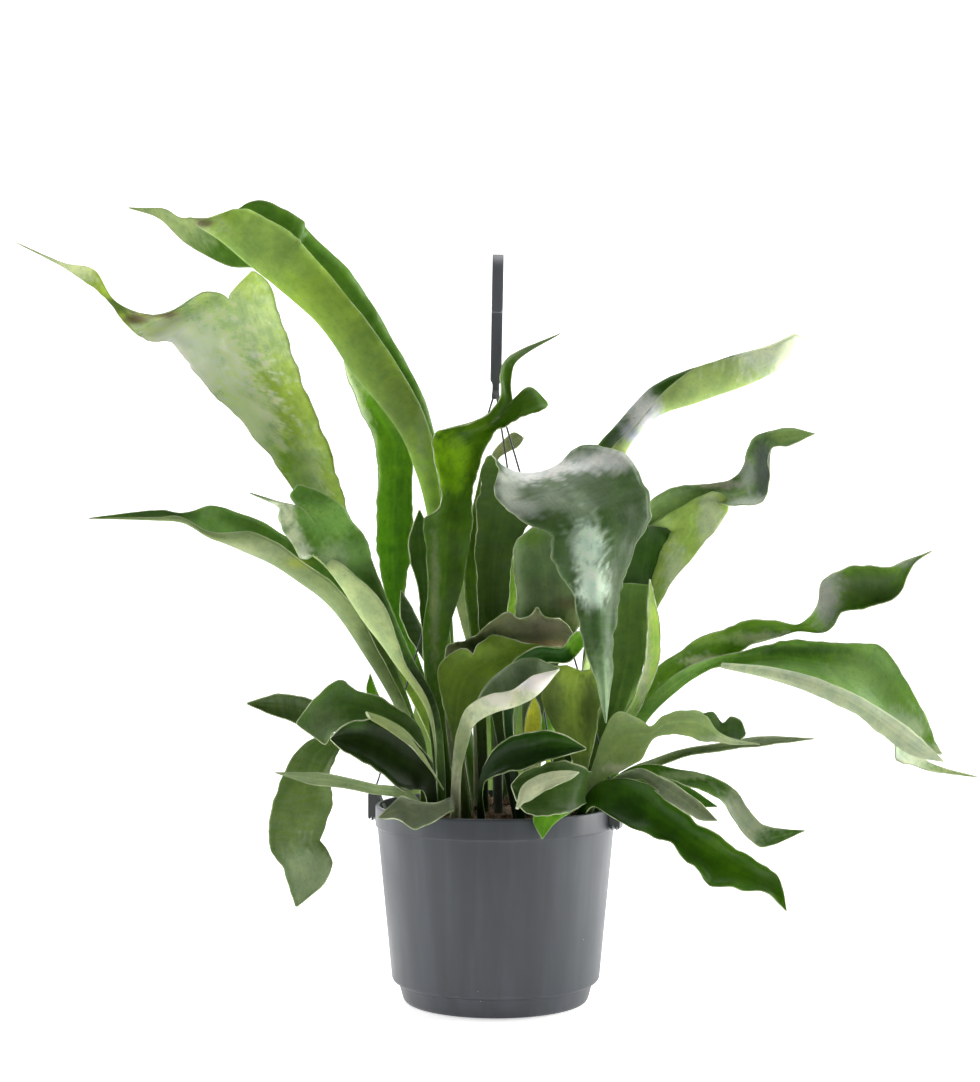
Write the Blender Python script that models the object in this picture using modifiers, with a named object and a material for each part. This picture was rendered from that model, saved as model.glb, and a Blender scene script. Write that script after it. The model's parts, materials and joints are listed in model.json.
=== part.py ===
"""Staghorn fern in a round plastic hanging pot, with a hook, three wires and their clips.

Metres, +Z up. The origin is the centre of the pot's base, on the surface the pot stands on.
The front of the plant faces -Y.

The fronds are drawn on a front elevation, as an eye 1.5 m in front of the pot sees them: a
point is (x, z) on the plane through the pot's axis, and its depth behind that plane follows
apart. `from_elevation` brings the three together. All of these tables are in millimetres.
"""
import math

import bmesh
import bpy
from mathutils import Matrix, Vector

MM = 0.001

# --- driving dimensions, millimetres -------------------------------------------------------
POT_HEIGHT = 138.0
RIM_RADIUS = 85.0
RIM_BAND = 14.5          # height of the straight band under the lip
BODY_TOP_RADIUS = 83.8
BODY_FOOT_RADIUS = 73.3
STEP_Z = 15.7            # where the body steps in to the foot
FOOT_TOP_RADIUS = 68.4
FOOT_TOP_Z = 12.5
FOOT_RADIUS = 64.8
WALL = 1.3
FLOOR_THICKNESS = 2.0
LIP_ROUND = 1.0          # rounding of the lip's top edge
EDGE_BREAK = 0.6         # the small flats that break the pot's and the hanger's sharp corners
CORNER_FILL = 1.5        # how much higher the wall's inside corners sit than its outside ones
TURN_STEPS = 48

DRAIN_HOLES = 8
DRAIN_HOLE_RADIUS = 4.0
DRAIN_RING_RADIUS = 48.0

CLEARANCE = 0.3
SOIL_TOP = 124.0
SOIL_ROUND = 2.0         # the mix rounds off by this much where it meets the wall
CROWN_TOP = 131.0
CROWN_ROUND = 1.5

FROND_THICKNESS = 1.1
SEAT_LIFT = CLEARANCE + FROND_THICKNESS / 2
STIPE_WIDTH = 7.0
ROW_LENGTH = 24.0        # spacing of a frond's rows
TIP_SHARE = 0.14         # width of a tip against the row before it
SHORTEST_RUN = 2.0       # least spacing counted between two sections
SAME_POINT = 0.01        # corners closer than this are one corner

EYE = Vector((-4.0, -1500.0, 324.0))

HANGER_TURNS = {"left": 168.0, "front_right": -20.0, "back": 60.0}
HUB_Z = 427.0
HOOK_WIDTH = 8.0
HOOK_THICKNESS = 3.0
HOOK_BEND_RADIUS = 14.0  # of the middle of the strap
HOOK_BEND_UP = 82.5      # centre of the bend, above the hub
HOOK_LIP_UP = 55.5       # end of the hook's tongue, above the hub
HOOK_LEAN = 1.0          # degrees, toward +X
HOOK_BEND_STEPS = 12
WIRE_RADIUS = 0.68
WIRE_START = (1.6, HUB_Z - 0.8)                # radius and height under the hub
WIRE_KNEE = ((86.2, 152.0), (88.2, 147.0))     # where it turns down over the clip
CLIP_WIDTH = 8.0
CLIP_INNER_RADIUS = RIM_RADIUS + 0.4
CLIP_DEPTH = 7.2
CLIP_Z = (123.6, 143.5)
GROOVE_RADIUS = 88.7     # middle of the groove that holds the wire
GROOVE_HALF = 1.1
GROOVE_FLOOR_Z = 127.2
SLOT_Z = (128.6, 131.4)  # the tongue through the rim
TONGUE_LENGTH = 5.4      # from the rim's face inward
BARB = (1.6, 2.2)        # length and drop of the tongue's barb

# --- the three crowns that the fronds grow from: centre x, y and radius ---------------------
CROWNS = {
    "crown_left": (-30.0, -22.0, 33.5),
    "crown_right": (44.0, -16.0, 30.0),
    "crown_back": (2.0, 34.0, 30.0),
}

# --- fronds --------------------------------------------------------------------------------
# name: (base, sections, tip, lobes)
#   base     x, y on the crown and the turn of the stipe's flat side, in degrees
#   section  (first edge, midrib, second edge, their three depths); edges and midrib are (x, z)
#   tip      (x, z, depth), or None where the blade forks
#   lobes    two (sections, tip), which carry on from the first and the second half
FRONDS = {
    "frond_upper_left": ((-16, 18, 90), [
        ((-30, 230), (-34, 228), (-28, 232), (14, 18, 22)),
        ((-36, 310), (-42, 305), (-34, 315), (14, 20, 28)),
        ((-47, 400), (-61, 387), (-46, 408), (6, 18, 30)),
        ((-79, 460), (-100, 443), (-76, 470), (0, 18, 36)),
        ((-109, 499), (-128, 481), (-103, 511), (-6, 14, 36)),
        ((-139, 535), (-156, 505), (-136, 544), (-10, 10, 34)),
    ], None, [
        ([((-168, 555), (-178, 538), (-172, 518), (-12, -8, 2)),
          ((-188, 559), (-195, 548), (-196, 537), (-14, -11, -4))], (-212, 549, -10)),
        ([((-169, 517), (-170, 540), (-165, 560), (12, 22, 30)),
          ((-190, 519), (-194, 534), (-196, 551), (14, 20, 24)),
          ((-218, 534), (-221, 543), (-222, 551), (14, 17, 20)),
          ((-238, 552), (-239, 556), (-240, 558), (14, 15, 16))], (-260, 560, 14)),
    ]),
    "frond_pale_fan": ((-25, 30, 180), [
        ((-44, 200), (-48, 198), (-52, 196), (31, 32, 31)),
        ((-80, 275), (-86, 272), (-92, 268), (36, 40, 36)),
        ((-104, 340), (-114, 335), (-124, 330), (38, 46, 38)),
        ((-120, 388), (-140, 384), (-158, 386), (36, 50, 38)),
        ((-142, 445), (-170, 436), (-202, 434), (30, 50, 34)),
    ], None, [
        ([((-156, 478), (-174, 482), (-191, 494), (26, 36, 40)),
          ((-161, 498), (-171, 500), (-183, 505), (24, 32, 34))], (-171, 514, 26)),
        ([((-191, 494), (-214, 477), (-238, 462), (40, 44, 30)),
          ((-216, 492), (-234, 482), (-250, 470), (36, 38, 26)),
          ((-244, 484), (-253, 481), (-262, 479), (30, 30, 24)),
          ((-269, 494), (-270, 492), (-271, 490), (24, 24, 22)),
          ((-284, 516), (-284, 510), (-285, 504), (20, 20, 18)),
          ((-306, 521), (-307, 520), (-308, 519), (14, 14, 13))], (-341, 536, 6)),
    ]),
    "frond_mid_left": ((-21, 40, 0), [
        ((-54, 215), (-50, 216), (-46, 217), (46, 46, 46)),
        ((-75, 272), (-69, 273), (-63, 274), (50, 52, 50)),
        ((-86, 312), (-73, 310), (-59, 310), (52, 58, 52)),
        ((-87, 350), (-72, 352), (-56, 352), (52, 60, 54)),
        ((-83, 390), (-71, 393), (-58, 395), (52, 60, 54)),
        ((-97, 424), (-86, 424), (-76, 422), (52, 58, 54)),
    ], (-107, 452, 54), []),
    "frond_left_folded": ((-47, -9, 90), [
        ((-57, 190), (-62, 188), (-56, 193), (-13, -9, -5)),
        ((-80, 240), (-90, 240), (-76, 248), (-20, -10, 0)),
        ((-105, 283), (-118, 279), (-98, 290), (-26, -10, 4)),
        ((-143, 313), (-152, 304), (-138, 320), (-30, -12, 8)),
        ((-172, 330), (-182, 319), (-170, 339), (-30, -14, 8)),
        ((-200, 330), (-202, 328), (-197, 348), (-22, -16, 2)),
        ((-223, 341), (-221, 337), (-221, 344), (-18, -16, -12)),
        ((-240, 341), (-240, 339), (-238, 346), (-18, -16, -12)),
    ], (-288, 340, -20), []),
    "frond_front_left": ((-37, -27, 0), [
        ((-45, 202), (-46, 198), (-40, 202), (-37, -33, -30)),
        ((-66, 240), (-75, 243), (-60, 244), (-44, -36, -32)),
        ((-80, 277), (-97, 273), (-74, 277), (-54, -42, -36)),
        ((-110, 304), (-112, 295), (-85, 303), (-62, -48, -38)),
        ((-136, 318), (-120, 314), (-93, 319), (-56, -56, -42)),
        ((-148, 339), (-128, 336), (-107, 338), (-50, -58, -46)),
    ], None, [
        ([((-152, 349), (-145, 348), (-138, 348), (-48, -52, -54)),
          ((-157, 351), (-155, 351), (-153, 352), (-48, -50, -50))], (-174, 358, -48)),
        ([((-146, 355), (-134, 352), (-118, 351), (-50, -52, -47))], (-139, 364, -50)),
    ]),
    "frond_centre_tall": ((-30, -6, 0), [
        ((-46, 205), (-41, 205), (-36, 205), (-6, -7, -6)),
        ((-51, 255), (-43, 255), (-34, 255), (-6, -9, -6)),
        ((-46, 295), (-36, 295), (-25, 295), (-5, -10, -6)),
        ((-47, 338), (-33, 336), (-18, 336), (-4, -10, -8)),
        ((-40, 356), (-27, 358), (-14, 358), (-14, -8, -10)),
        ((-49, 386), (-28, 380), (-7, 378), (-20, -6, -14)),
        ((-44, 406), (-22, 398), (2, 397), (-22, -8, -18)),
        ((-14, 412), (-3, 408), (8, 403), (-22, -12, -16)),
    ], None, [
        ([((0, 426), (6, 424), (11, 420), (-18, -14, -14)),
          ((1, 442), (6, 440), (11, 436), (-16, -14, -14)),
          ((10, 455), (13, 453), (15, 451), (-14, -14, -14))], (46, 471, -12)),
        ([((14, 426), (16, 419), (19, 411), (-14, -16, -18)),
          ((25, 433), (28, 424), (31, 415), (-12, -18, -20))], (37, 421, -18)),
    ]),
    "frond_centre_drooping": ((16, -14, 180), [
        ((7, 225), (0, 225), (-7, 225), (-8, -7, -8)),
        ((9, 285), (-2, 285), (-13, 285), (-10, -6, -10)),
        ((12, 322), (0, 322), (-12, 322), (-16, -10, -16)),
        ((26, 345), (8, 350), (-11, 352), (-26, -20, -26)),
        ((40, 372), (14, 379), (-8, 374), (-28, -36, -42)),
        ((68, 386), (36, 374), (3, 360), (-34, -56, -62)),
        ((94, 376), (52, 364), (14, 343), (-44, -72, -76)),
        ((106, 352), (70, 344), (38, 333), (-58, -84, -82)),
        ((101, 322), (71, 318), (44, 308), (-70, -94, -88)),
        ((87, 295), (71, 293), (56, 295), (-80, -98, -92)),
        ((84, 262), (73, 262), (62, 262), (-90, -100, -96)),
        ((81, 228), (76, 228), (71, 230), (-96, -102, -99)),
    ], (77, 195, -102), []),
    "frond_behind_drooping": ((24, -4, 0), [
        ((18, 215), (24, 215), (30, 215), (-12, -12, -12)),
        ((15, 268), (30, 268), (45, 270), (-20, -17, -20)),
        ((14, 302), (32, 302), (51, 300), (-22, -18, -22)),
        ((17, 326), (30, 328), (43, 324), (-22, -19, -22)),
    ], (31, 337, -21), []),
    "frond_upper_right": ((45, 10, -90), [
        ((66, 225), (62, 222), (60, 226), (24, 20, 16)),
        ((76, 310), (80, 306), (78, 308), (34, 28, 22)),
        ((70, 386), (91, 384), (81, 386), (42, 34, 26)),
        ((90, 411), (103, 403), (98, 404), (46, 38, 30)),
        ((112, 434), (119, 415), (116, 425), (50, 40, 30)),
        ((143, 447), (143, 423), (139, 445), (52, 40, 28)),
        ((172, 456), (170, 432), (169, 454), (50, 38, 26)),
        ((197, 463), (195, 443), (194, 461), (48, 36, 26)),
        ((211, 470), (209, 455), (211, 469), (44, 34, 28)),
    ], (218, 467, 36), []),
    "frond_right_twisted": ((52, 4, 0), [
        ((72, 215), (76, 213), (80, 211), (8, 8, 8)),
        ((92, 300), (97, 297), (102, 294), (14, 15, 14)),
        ((108, 352), (112, 344), (116, 336), (20, 22, 20)),
        ((128, 363), (131, 354), (135, 346), (22, 24, 22)),
        ((151, 365), (151, 359), (152, 351), (22, 22, 16)),
        ((168, 367), (169, 357), (170, 347), (24, 16, 6)),
        ((180, 378), (184, 364), (189, 349), (30, 14, 2)),
        ((184, 394), (190, 382), (196, 368), (30, 18, 8)),
        ((193, 401), (195, 395), (196, 388), (22, 20, 16)),
        ((209, 404), (208, 397), (207, 391), (18, 18, 18)),
    ], (226, 400, 16), []),
    "frond_right_pale": ((49, -3, 180), [
        ((84, 205), (80, 207), (76, 209), (2, 2, 2)),
        ((112, 275), (106, 280), (101, 286), (4, 6, 6)),
        ((125, 298), (118, 303), (110, 300), (4, 8, 8)),
        ((140, 315), (130, 322), (119, 320), (4, 10, 10)),
        ((156, 337), (137, 340), (106, 334), (4, 12, 12)),
        ((161, 350), (146, 352), (128, 347), (6, 12, 14)),
    ], (150, 358, 12), []),
    "frond_right_shaded": ((40, 6, 0), [
        ((64, 225), (68, 225), (72, 225), (15, 15, 15)),
        ((87, 285), (96, 284), (106, 284), (23, 25, 23)),
        ((97, 315), (107, 315), (117, 316), (26, 28, 26)),
    ], (112, 333, 28), []),
    "frond_right_upright": ((54, -8, 180), [
        ((84, 205), (80, 206), (76, 207), (-5, -5, -5)),
        ((103, 242), (93, 243), (84, 244), (-6, -2, -6)),
        ((106, 268), (95, 269), (84, 270), (-6, -2, -6)),
    ], (97, 294, -3), []),
    "frond_narrow_rolled": ((61, -19, 0), [
        ((76, 178), (79, 177), (82, 176), (-19, -19, -19)),
        ((94, 208), (98, 206), (102, 204), (-22, -20, -22)),
        ((101, 232), (106, 231), (112, 230), (-26, -20, -24)),
        ((104, 252), (111, 251), (117, 249), (-28, -21, -26)),
        ((106, 274), (108, 272), (111, 270), (-28, -23, -26)),
    ], (109, 297, -26), []),
    "frond_right_waved": ((61, -4, 0), [
        ((84, 190), (87, 188), (90, 186), (-9, -9, -9)),
        ((109, 229), (113, 223), (117, 216), (-12, -12, -12)),
        ((132, 248), (137, 242), (142, 236), (-12, -10, -12)),
        ((153, 262), (158, 252), (163, 242), (-14, -8, -14)),
        ((180, 270), (182, 261), (184, 253), (-16, -10, -16)),
        ((199, 268), (200, 264), (201, 260), (-16, -14, -14)),
        ((214, 265), (214, 263), (214, 260), (-14, -14, -14)),
        ((224, 274), (228, 267), (232, 260), (-18, -16, -14)),
        ((230, 296), (238, 285), (246, 275), (-24, -16, -16)),
        ((250, 308), (255, 292), (260, 276), (-28, -18, -22)),
        ((275, 307), (276, 297), (277, 287), (-30, -24, -28)),
    ], (304, 316, -32), []),
    "frond_far_right": ((67, -12, 0), [
        ((97, 197), (101, 195), (105, 193), (-18, -18, -18)),
        ((122, 226), (126, 222), (129, 218), (-24, -24, -24)),
        ((152, 241), (154, 238), (156, 234), (-26, -24, -26)),
        ((178, 248), (177, 240), (177, 231), (-26, -24, -32)),
        ((205, 256), (205, 242), (205, 223), (-24, -26, -44)),
        ((240, 252), (237, 235), (234, 214), (-26, -32, -52)),
        ((272, 249), (262, 227), (260, 202), (-32, -38, -56)),
        ((289, 225), (281, 204), (275, 187), (-38, -46, -58)),
        ((303, 197), (292, 184), (281, 168), (-44, -52, -58)),
    ], None, [
        ([((309, 184), (304, 180), (299, 177), (-48, -50, -54))], (316, 173, -52)),
        ([((302, 171), (297, 167), (291, 164), (-54, -56, -58)),
          ((316, 164), (315, 161), (314, 159), (-58, -58, -60))], (341, 157, -60)),
    ]),
    "frond_right_ruffled": ((57, -31, 180), [
        ((77, 155), (73, 160), (70, 166), (-46, -44, -42)),
        ((95, 169), (87, 182), (80, 194), (-54, -48, -44)),
        ((106, 180), (103, 189), (98, 201), (-56, -50, -46)),
        ((116, 187), (115, 191), (113, 195), (-54, -52, -50)),
        ((128, 187), (128, 196), (126, 205), (-54, -50, -46)),
        ((147, 185), (149, 195), (147, 206), (-56, -50, -44)),
        ((166, 183), (168, 190), (166, 198), (-58, -54, -48)),
    ], (178, 186, -54), []),
    "frond_right_slim": ((69, -22, 0), [
        ((87, 158), (88, 155), (89, 152), (-20, -20, -20)),
        ((112, 170), (113, 167), (114, 164), (-24, -22, -24)),
        ((137, 178), (138, 175), (139, 172), (-26, -24, -28)),
        ((162, 182), (162, 179), (162, 175), (-28, -26, -30)),
        ((186, 186), (185, 182), (185, 178), (-28, -28, -30)),
    ], (226, 184, -32), []),
    "frond_right_low": ((67, -26, 0), [
        ((85, 157), (86, 154), (87, 151), (-40, -40, -40)),
        ((106, 166), (107, 161), (108, 157), (-46, -46, -46)),
        ((131, 162), (132, 156), (132, 150), (-50, -52, -56)),
        ((152, 158), (150, 151), (148, 145), (-54, -56, -62)),
        ((170, 148), (164, 143), (158, 139), (-56, -58, -64)),
        ((178, 134), (172, 131), (167, 128), (-60, -62, -64)),
        ((188, 124), (184, 118), (180, 112), (-62, -64, -66)),
        ((200, 120), (196, 114), (192, 107), (-64, -66, -68)),
    ], (219, 119, -70), []),
    "frond_right_small_green": ((65, -32, 0), [
        ((76, 151), (77, 147), (78, 144), (-42, -42, -42)),
        ((88, 158), (89, 155), (90, 152), (-47, -47, -47)),
        ((112, 157), (113, 154), (114, 151), (-56, -56, -56)),
        ((137, 148), (138, 143), (138, 138), (-64, -66, -68)),
    ], (157, 136, -72), []),
    "frond_right_small_grey": ((59, -37, 0), [
        ((74, 149), (75, 146), (76, 143), (-50, -50, -50)),
        ((100, 163), (101, 160), (102, 157), (-61, -61, -61)),
        ((114, 158), (113, 155), (112, 152), (-70, -70, -70)),
        ((126, 150), (124, 147), (122, 145), (-84, -84, -86)),
        ((146, 135), (144, 131), (141, 128), (-88, -90, -94)),
    ], (157, 126, -94), []),
    "frond_right_front_large": ((54, -41, 0), [
        ((70, 150), (71, 145), (72, 141), (-56, -56, -58)),
        ((91, 156), (88, 144), (85, 131), (-62, -64, -72)),
        ((113, 150), (108, 134), (104, 116), (-70, -70, -80)),
        ((135, 133), (127, 121), (120, 108), (-78, -76, -86)),
        ((157, 119), (146, 107), (137, 92), (-84, -82, -92)),
        ((178, 104), (166, 93), (155, 76), (-88, -88, -98)),
        ((194, 91), (186, 84), (177, 75), (-92, -92, -98)),
    ], (205, 64, -98), []),
    "frond_front_pale": ((-28, -46, 180), [
        ((-24, 162), (-27, 160), (-31, 160), (-55, -56, -57)),
        ((-18, 184), (-22, 183), (-28, 186), (-60, -63, -64)),
        ((-13, 206), (-15, 195), (-22, 204), (-62, -70, -72)),
        ((-6, 222), (-1, 203), (-8, 214), (-62, -74, -78)),
        ((12, 236), (15, 209), (11, 218), (-62, -76, -82)),
        ((29, 241), (31, 217), (26, 227), (-64, -77, -84)),
    ], (45, 233, -80), []),
    "frond_centre_ruffled": ((-21, -15, 0), [
        ((-36, 205), (-32, 205), (-28, 203), (-18, -18, -18)),
        ((-33, 251), (-27, 241), (-20, 230), (-22, -22, -24)),
        ((-12, 260), (-8, 248), (-4, 235), (-26, -23, -28)),
        ((5, 275), (8, 260), (12, 243), (-29, -26, -30)),
        ((29, 278), (30, 262), (30, 246), (-30, -26, -32)),
        ((46, 271), (46, 260), (45, 249), (-28, -26, -30)),
    ], (56, 255, -28), []),
    "frond_centre_olive": ((-19, -32, 180), [
        ((-24, 190), (-28, 190), (-32, 190), (-36, -36, -36)),
        ((-16, 214), (-27, 218), (-38, 224), (-40, -36, -42)),
        ((-1, 229), (-14, 238), (-27, 246), (-42, -36, -42)),
        ((12, 240), (2, 247), (-8, 253), (-44, -38, -42)),
    ], (20, 250, -42), []),
    "frond_centre_bright": ((18, -33, 0), [
        ((8, 175), (11, 175), (14, 175), (-41, -41, -41)),
        ((5, 205), (9, 204), (13, 203), (-47, -46, -47)),
        ((8, 234), (14, 229), (20, 224), (-52, -50, -52)),
        ((30, 249), (32, 244), (34, 238), (-54, -52, -54)),
        ((50, 251), (51, 244), (51, 238), (-54, -52, -54)),
        ((60, 259), (61, 253), (61, 247), (-52, -51, -54)),
    ], (70, 254, -54), []),
    "frond_centre_right_olive": ((48, -25, 180), [
        ((61, 165), (58, 165), (55, 165), (-33, -33, -33)),
        ((63, 190), (53, 190), (43, 192), (-36, -33, -38)),
        ((65, 212), (50, 212), (35, 213), (-36, -32, -40)),
        ((71, 227), (56, 228), (42, 229), (-38, -34, -42)),
    ], (60, 236, -38), []),
    "frond_young": ((29, -30, 0), [
        ((24, 165), (27, 165), (30, 165), (-33, -33, -33)),
        ((20, 190), (26, 190), (33, 190), (-34, -31, -34)),
        ((22, 204), (27, 204), (32, 204), (-34, -32, -34)),
    ], (27, 215, -33), []),
    "leaf_low_centre": ((-10, -44, 0), [
        ((-10, 160), (-9, 156), (-8, 152), (-60, -60, -60)),
        ((3, 182), (6, 171), (8, 159), (-68, -66, -70)),
        ((23, 191), (24, 176), (25, 161), (-72, -68, -76)),
        ((43, 191), (43, 180), (43, 168), (-74, -71, -78)),
    ], (64, 177, -78), []),
    "leaf_low_front": ((45, -42, 0), [
        ((60, 137), (62, 145), (64, 158), (-60, -62, -60)),
        ((58, 136), (60, 148), (62, 161), (-78, -76, -70)),
        ((45, 131), (46, 147), (47, 163), (-88, -84, -78)),
        ((30, 130), (30, 146), (31, 160), (-93, -88, -82)),
        ((19, 135), (17, 146), (15, 158), (-95, -92, -86)),
    ], (13, 141, -94), []),
    "leaf_low_tip": ((33, -42, 0), [
        ((33, 144), (37, 144), (41, 144), (-66, -66, -66)),
        ((34, 138), (41, 138), (48, 138), (-80, -80, -80)),
        ((28, 128), (35, 128), (42, 128), (-89, -87, -87)),
    ], (32, 113, -89), []),
    "frond_left_front": ((-42, -37, 0), [
        ((-52, 147), (-49, 157), (-46, 167), (-48, -46, -46)),
        ((-70, 147), (-67, 169), (-65, 188), (-60, -54, -52)),
        ((-90, 162), (-88, 182), (-88, 200), (-68, -58, -58)),
        ((-106, 171), (-104, 185), (-105, 197), (-70, -62, -64)),
    ], (-117, 184, -68), []),
    "frond_left_mid": ((-49, -22, 0), [
        ((-57, 172), (-55, 180), (-52, 188), (-32, -30, -28)),
        ((-78, 185), (-77, 198), (-76, 211), (-40, -34, -34)),
        ((-98, 190), (-98, 206), (-98, 220), (-44, -38, -38)),
        ((-113, 187), (-114, 206), (-110, 225), (-50, -42, -38)),
        ((-122, 178), (-128, 197), (-127, 215), (-54, -46, -42)),
    ], (-141, 195, -48), []),
    "frond_left_dark_tip": ((-61, -14, 0), [
        ((-74, 180), (-75, 185), (-75, 190), (-17, -17, -17)),
        ((-102, 192), (-102, 200), (-102, 208), (-22, -20, -20)),
        ((-130, 190), (-130, 202), (-130, 214), (-24, -20, -22)),
        ((-150, 196), (-150, 207), (-150, 218), (-24, -20, -22)),
    ], (-176, 209, -22), []),
    "frond_left_hanging": ((-54, -17, 180), [
        ((-76, 174), (-77, 178), (-78, 182), (-25, -25, -25)),
        ((-105, 178), (-107, 183), (-109, 188), (-30, -30, -30)),
        ((-113, 172), (-124, 176), (-134, 181), (-36, -36, -34)),
        ((-118, 156), (-133, 158), (-147, 158), (-42, -42, -38)),
        ((-119, 137), (-137, 135), (-155, 135), (-40, -48, -42)),
        ((-126, 113), (-142, 113), (-158, 113), (-40, -48, -44)),
        ((-117, 98), (-135, 97), (-152, 96), (-44, -46, -46)),
        ((-120, 82), (-133, 81), (-147, 80), (-48, -46, -46)),
    ], (-141, 65, -46), []),
    "leaf_left_narrow": ((-47, -44, 0), [
        ((-60, 139), (-60, 143), (-60, 147), (-60, -60, -60)),
        ((-86, 145), (-86, 149), (-86, 152), (-72, -72, -72)),
        ((-110, 149), (-110, 154), (-110, 158), (-78, -76, -76)),
        ((-130, 152), (-130, 156), (-130, 160), (-80, -80, -78)),
    ], (-157, 160, -82), []),
    "leaf_over_rim": ((-33, -51, 0), [
        ((-30, 133), (-30, 137), (-31, 142), (-74, -72, -70)),
        ((-41, 127), (-42, 133), (-43, 138), (-84, -80, -78)),
        ((-55, 119), (-55, 130), (-56, 140), (-86, -80, -77)),
        ((-67, 125), (-67, 134), (-67, 143), (-80, -75, -72)),
    ], (-83, 128, -74), []),
    "leaf_small_left": ((-27, 33, 0), [
        ((-62, 185), (-59, 185), (-56, 185), (35, 35, 35)),
        ((-91, 215), (-86, 214), (-81, 213), (34, 35, 34)),
    ], (-89, 230, 34), []),
    "leaf_tiny_back": ((2, 14, 0), [
        ((-2, 250), (0, 250), (2, 250), (22, 22, 22)),
        ((-6, 345), (-4, 344), (-2, 343), (30, 30, 30)),
        ((-3, 388), (1, 385), (4, 382), (32, 32, 32)),
        ((8, 398), (10, 395), (12, 390), (33, 33, 33)),
    ], (20, 396, 34), []),
    "frond_left_shaded": ((-37, -1, 0), [
        ((-50, 225), (-47, 225), (-44, 225), (0, 0, 0)),
        ((-55, 285), (-50, 285), (-44, 285), (0, 2, 0)),
        ((-63, 322), (-54, 323), (-44, 324), (0, 2, 0)),
    ], (-54, 346, 1), []),
    "leaf_teal_back": ((-19, 26, 0), [
        ((-44, 225), (-41, 225), (-38, 225), (28, 28, 28)),
        ((-67, 265), (-59, 264), (-51, 264), (26, 28, 26)),
    ], (-67, 289, 26), []),
    "frond_slim_shaded": ((-8, 20, 0), [
        ((-16, 240), (-12, 240), (-8, 240), (20, 20, 20)),
        ((-23, 310), (-18, 310), (-12, 310), (16, 18, 16)),
    ], (-10, 375, 14), []),
    "leaf_pale_between": ((-12, 31, 180), [
        ((-12, 240), (-15, 240), (-18, 240), (30, 30, 30)),
        ((-15, 278), (-21, 280), (-28, 283), (28, 30, 28)),
    ], (-24, 308, 28), []),
    "frond_back_arching": ((10, 55, 0), [
        ((2, 190), (8, 190), (14, 190), (78, 76, 78)),
        ((-8, 240), (8, 240), (24, 240), (114, 108, 114)),
        ((-12, 248), (8, 252), (28, 248), (150, 148, 150)),
        ((-14, 222), (8, 226), (30, 222), (180, 184, 180)),
        ((-10, 170), (6, 172), (24, 170), (196, 204, 196)),
        ((-6, 118), (4, 120), (16, 118), (196, 204, 196)),
    ], (2, 66, 196), []),
    "frond_back_left": ((-12, 56, 10), [
        ((-28, 185), (-22, 185), (-16, 185), (76, 74, 76)),
        ((-48, 218), (-38, 224), (-26, 222), (104, 100, 104)),
        ((-56, 205), (-44, 214), (-28, 215), (136, 134, 136)),
        ((-60, 160), (-46, 168), (-30, 168), (156, 160, 156)),
        ((-58, 110), (-46, 112), (-34, 112), (160, 166, 160)),
    ], (-48, 62, 156), []),
    "frond_back_right": ((25, 47, -10), [
        ((26, 180), (31, 180), (36, 180), (76, 74, 76)),
        ((34, 222), (46, 224), (60, 216), (94, 90, 94)),
        ((38, 228), (50, 230), (66, 218), (126, 124, 126)),
        ((40, 190), (54, 196), (70, 186), (154, 158, 154)),
        ((42, 130), (56, 134), (70, 128), (164, 172, 164)),
    ], (58, 84, 162), []),
    "frond_back_tall": ((29, 32, 0), [
        ((56, 210), (62, 210), (68, 210), (52, 52, 52)),
        ((66, 270), (76, 272), (88, 270), (74, 70, 74)),
        ((72, 308), (86, 312), (100, 306), (100, 96, 100)),
        ((74, 316), (88, 322), (100, 314), (128, 128, 128)),
        ((74, 288), (86, 292), (97, 286), (150, 154, 150)),
        ((76, 240), (84, 242), (92, 238), (158, 164, 158)),
    ], (80, 190, 156), []),
    "frond_back_upright": ((2, 58, 0), [
        ((-4, 200), (0, 200), (4, 200), (62, 62, 62)),
        ((-6, 260), (2, 260), (10, 260), (68, 70, 68)),
        ((-6, 300), (6, 300), (18, 300), (72, 78, 72)),
        ((2, 322), (12, 322), (22, 320), (78, 82, 78)),
    ], (16, 334, 84), []),
}


# --- helpers -------------------------------------------------------------------------------
def new_collection(name):
    collection = bpy.data.collections.new(name)
    bpy.context.scene.collection.children.link(collection)
    return collection


def finish(obj, collection, colour, roughness=0.5, metallic=0.0):
    """Puts the object in its collection, with a Principled material of its own."""
    for holder in list(obj.users_collection):
        holder.objects.unlink(obj)
    collection.objects.link(obj)
    material = bpy.data.materials.new(obj.name)
    material.use_nodes = True
    shader = material.node_tree.nodes["Principled BSDF"]
    shader.inputs["Base Color"].default_value = (*colour, 1.0)
    shader.inputs["Roughness"].default_value = roughness
    shader.inputs["Metallic"].default_value = metallic
    obj.data.materials.append(material)
    return obj


def from_elevation(x, z, depth):
    """The point at a depth that the eye sees at (x, z) on the front elevation, in metres."""
    on_plane = Vector((x, 0.0, z))
    return (EYE + (on_plane - EYE) * ((depth - EYE.y) / -EYE.y)) * MM


def turned(name, profile):
    """A closed profile of (radius, z) in millimetres, turned about Z with a Screw modifier."""
    mesh = bpy.data.meshes.new(name)
    obj = bpy.data.objects.new(name, mesh)
    bpy.context.scene.collection.objects.link(obj)
    bm = bmesh.new()
    verts = [bm.verts.new((r * MM, 0.0, z * MM)) for r, z in profile]
    for a, b in zip(verts, verts[1:]):
        bm.edges.new((a, b))
    bm.to_mesh(mesh)
    bm.free()
    screw = obj.modifiers.new("Turn", "SCREW")
    screw.steps = screw.render_steps = TURN_STEPS
    screw.use_merge_vertices = True
    screw.merge_threshold = SAME_POINT * MM
    return obj


def cut(obj, cutters):
    for cutter in cutters:
        boolean = obj.modifiers.new("Cut", "BOOLEAN")
        boolean.operation = "DIFFERENCE"
        boolean.solver = "EXACT"
        boolean.object = cutter


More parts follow.
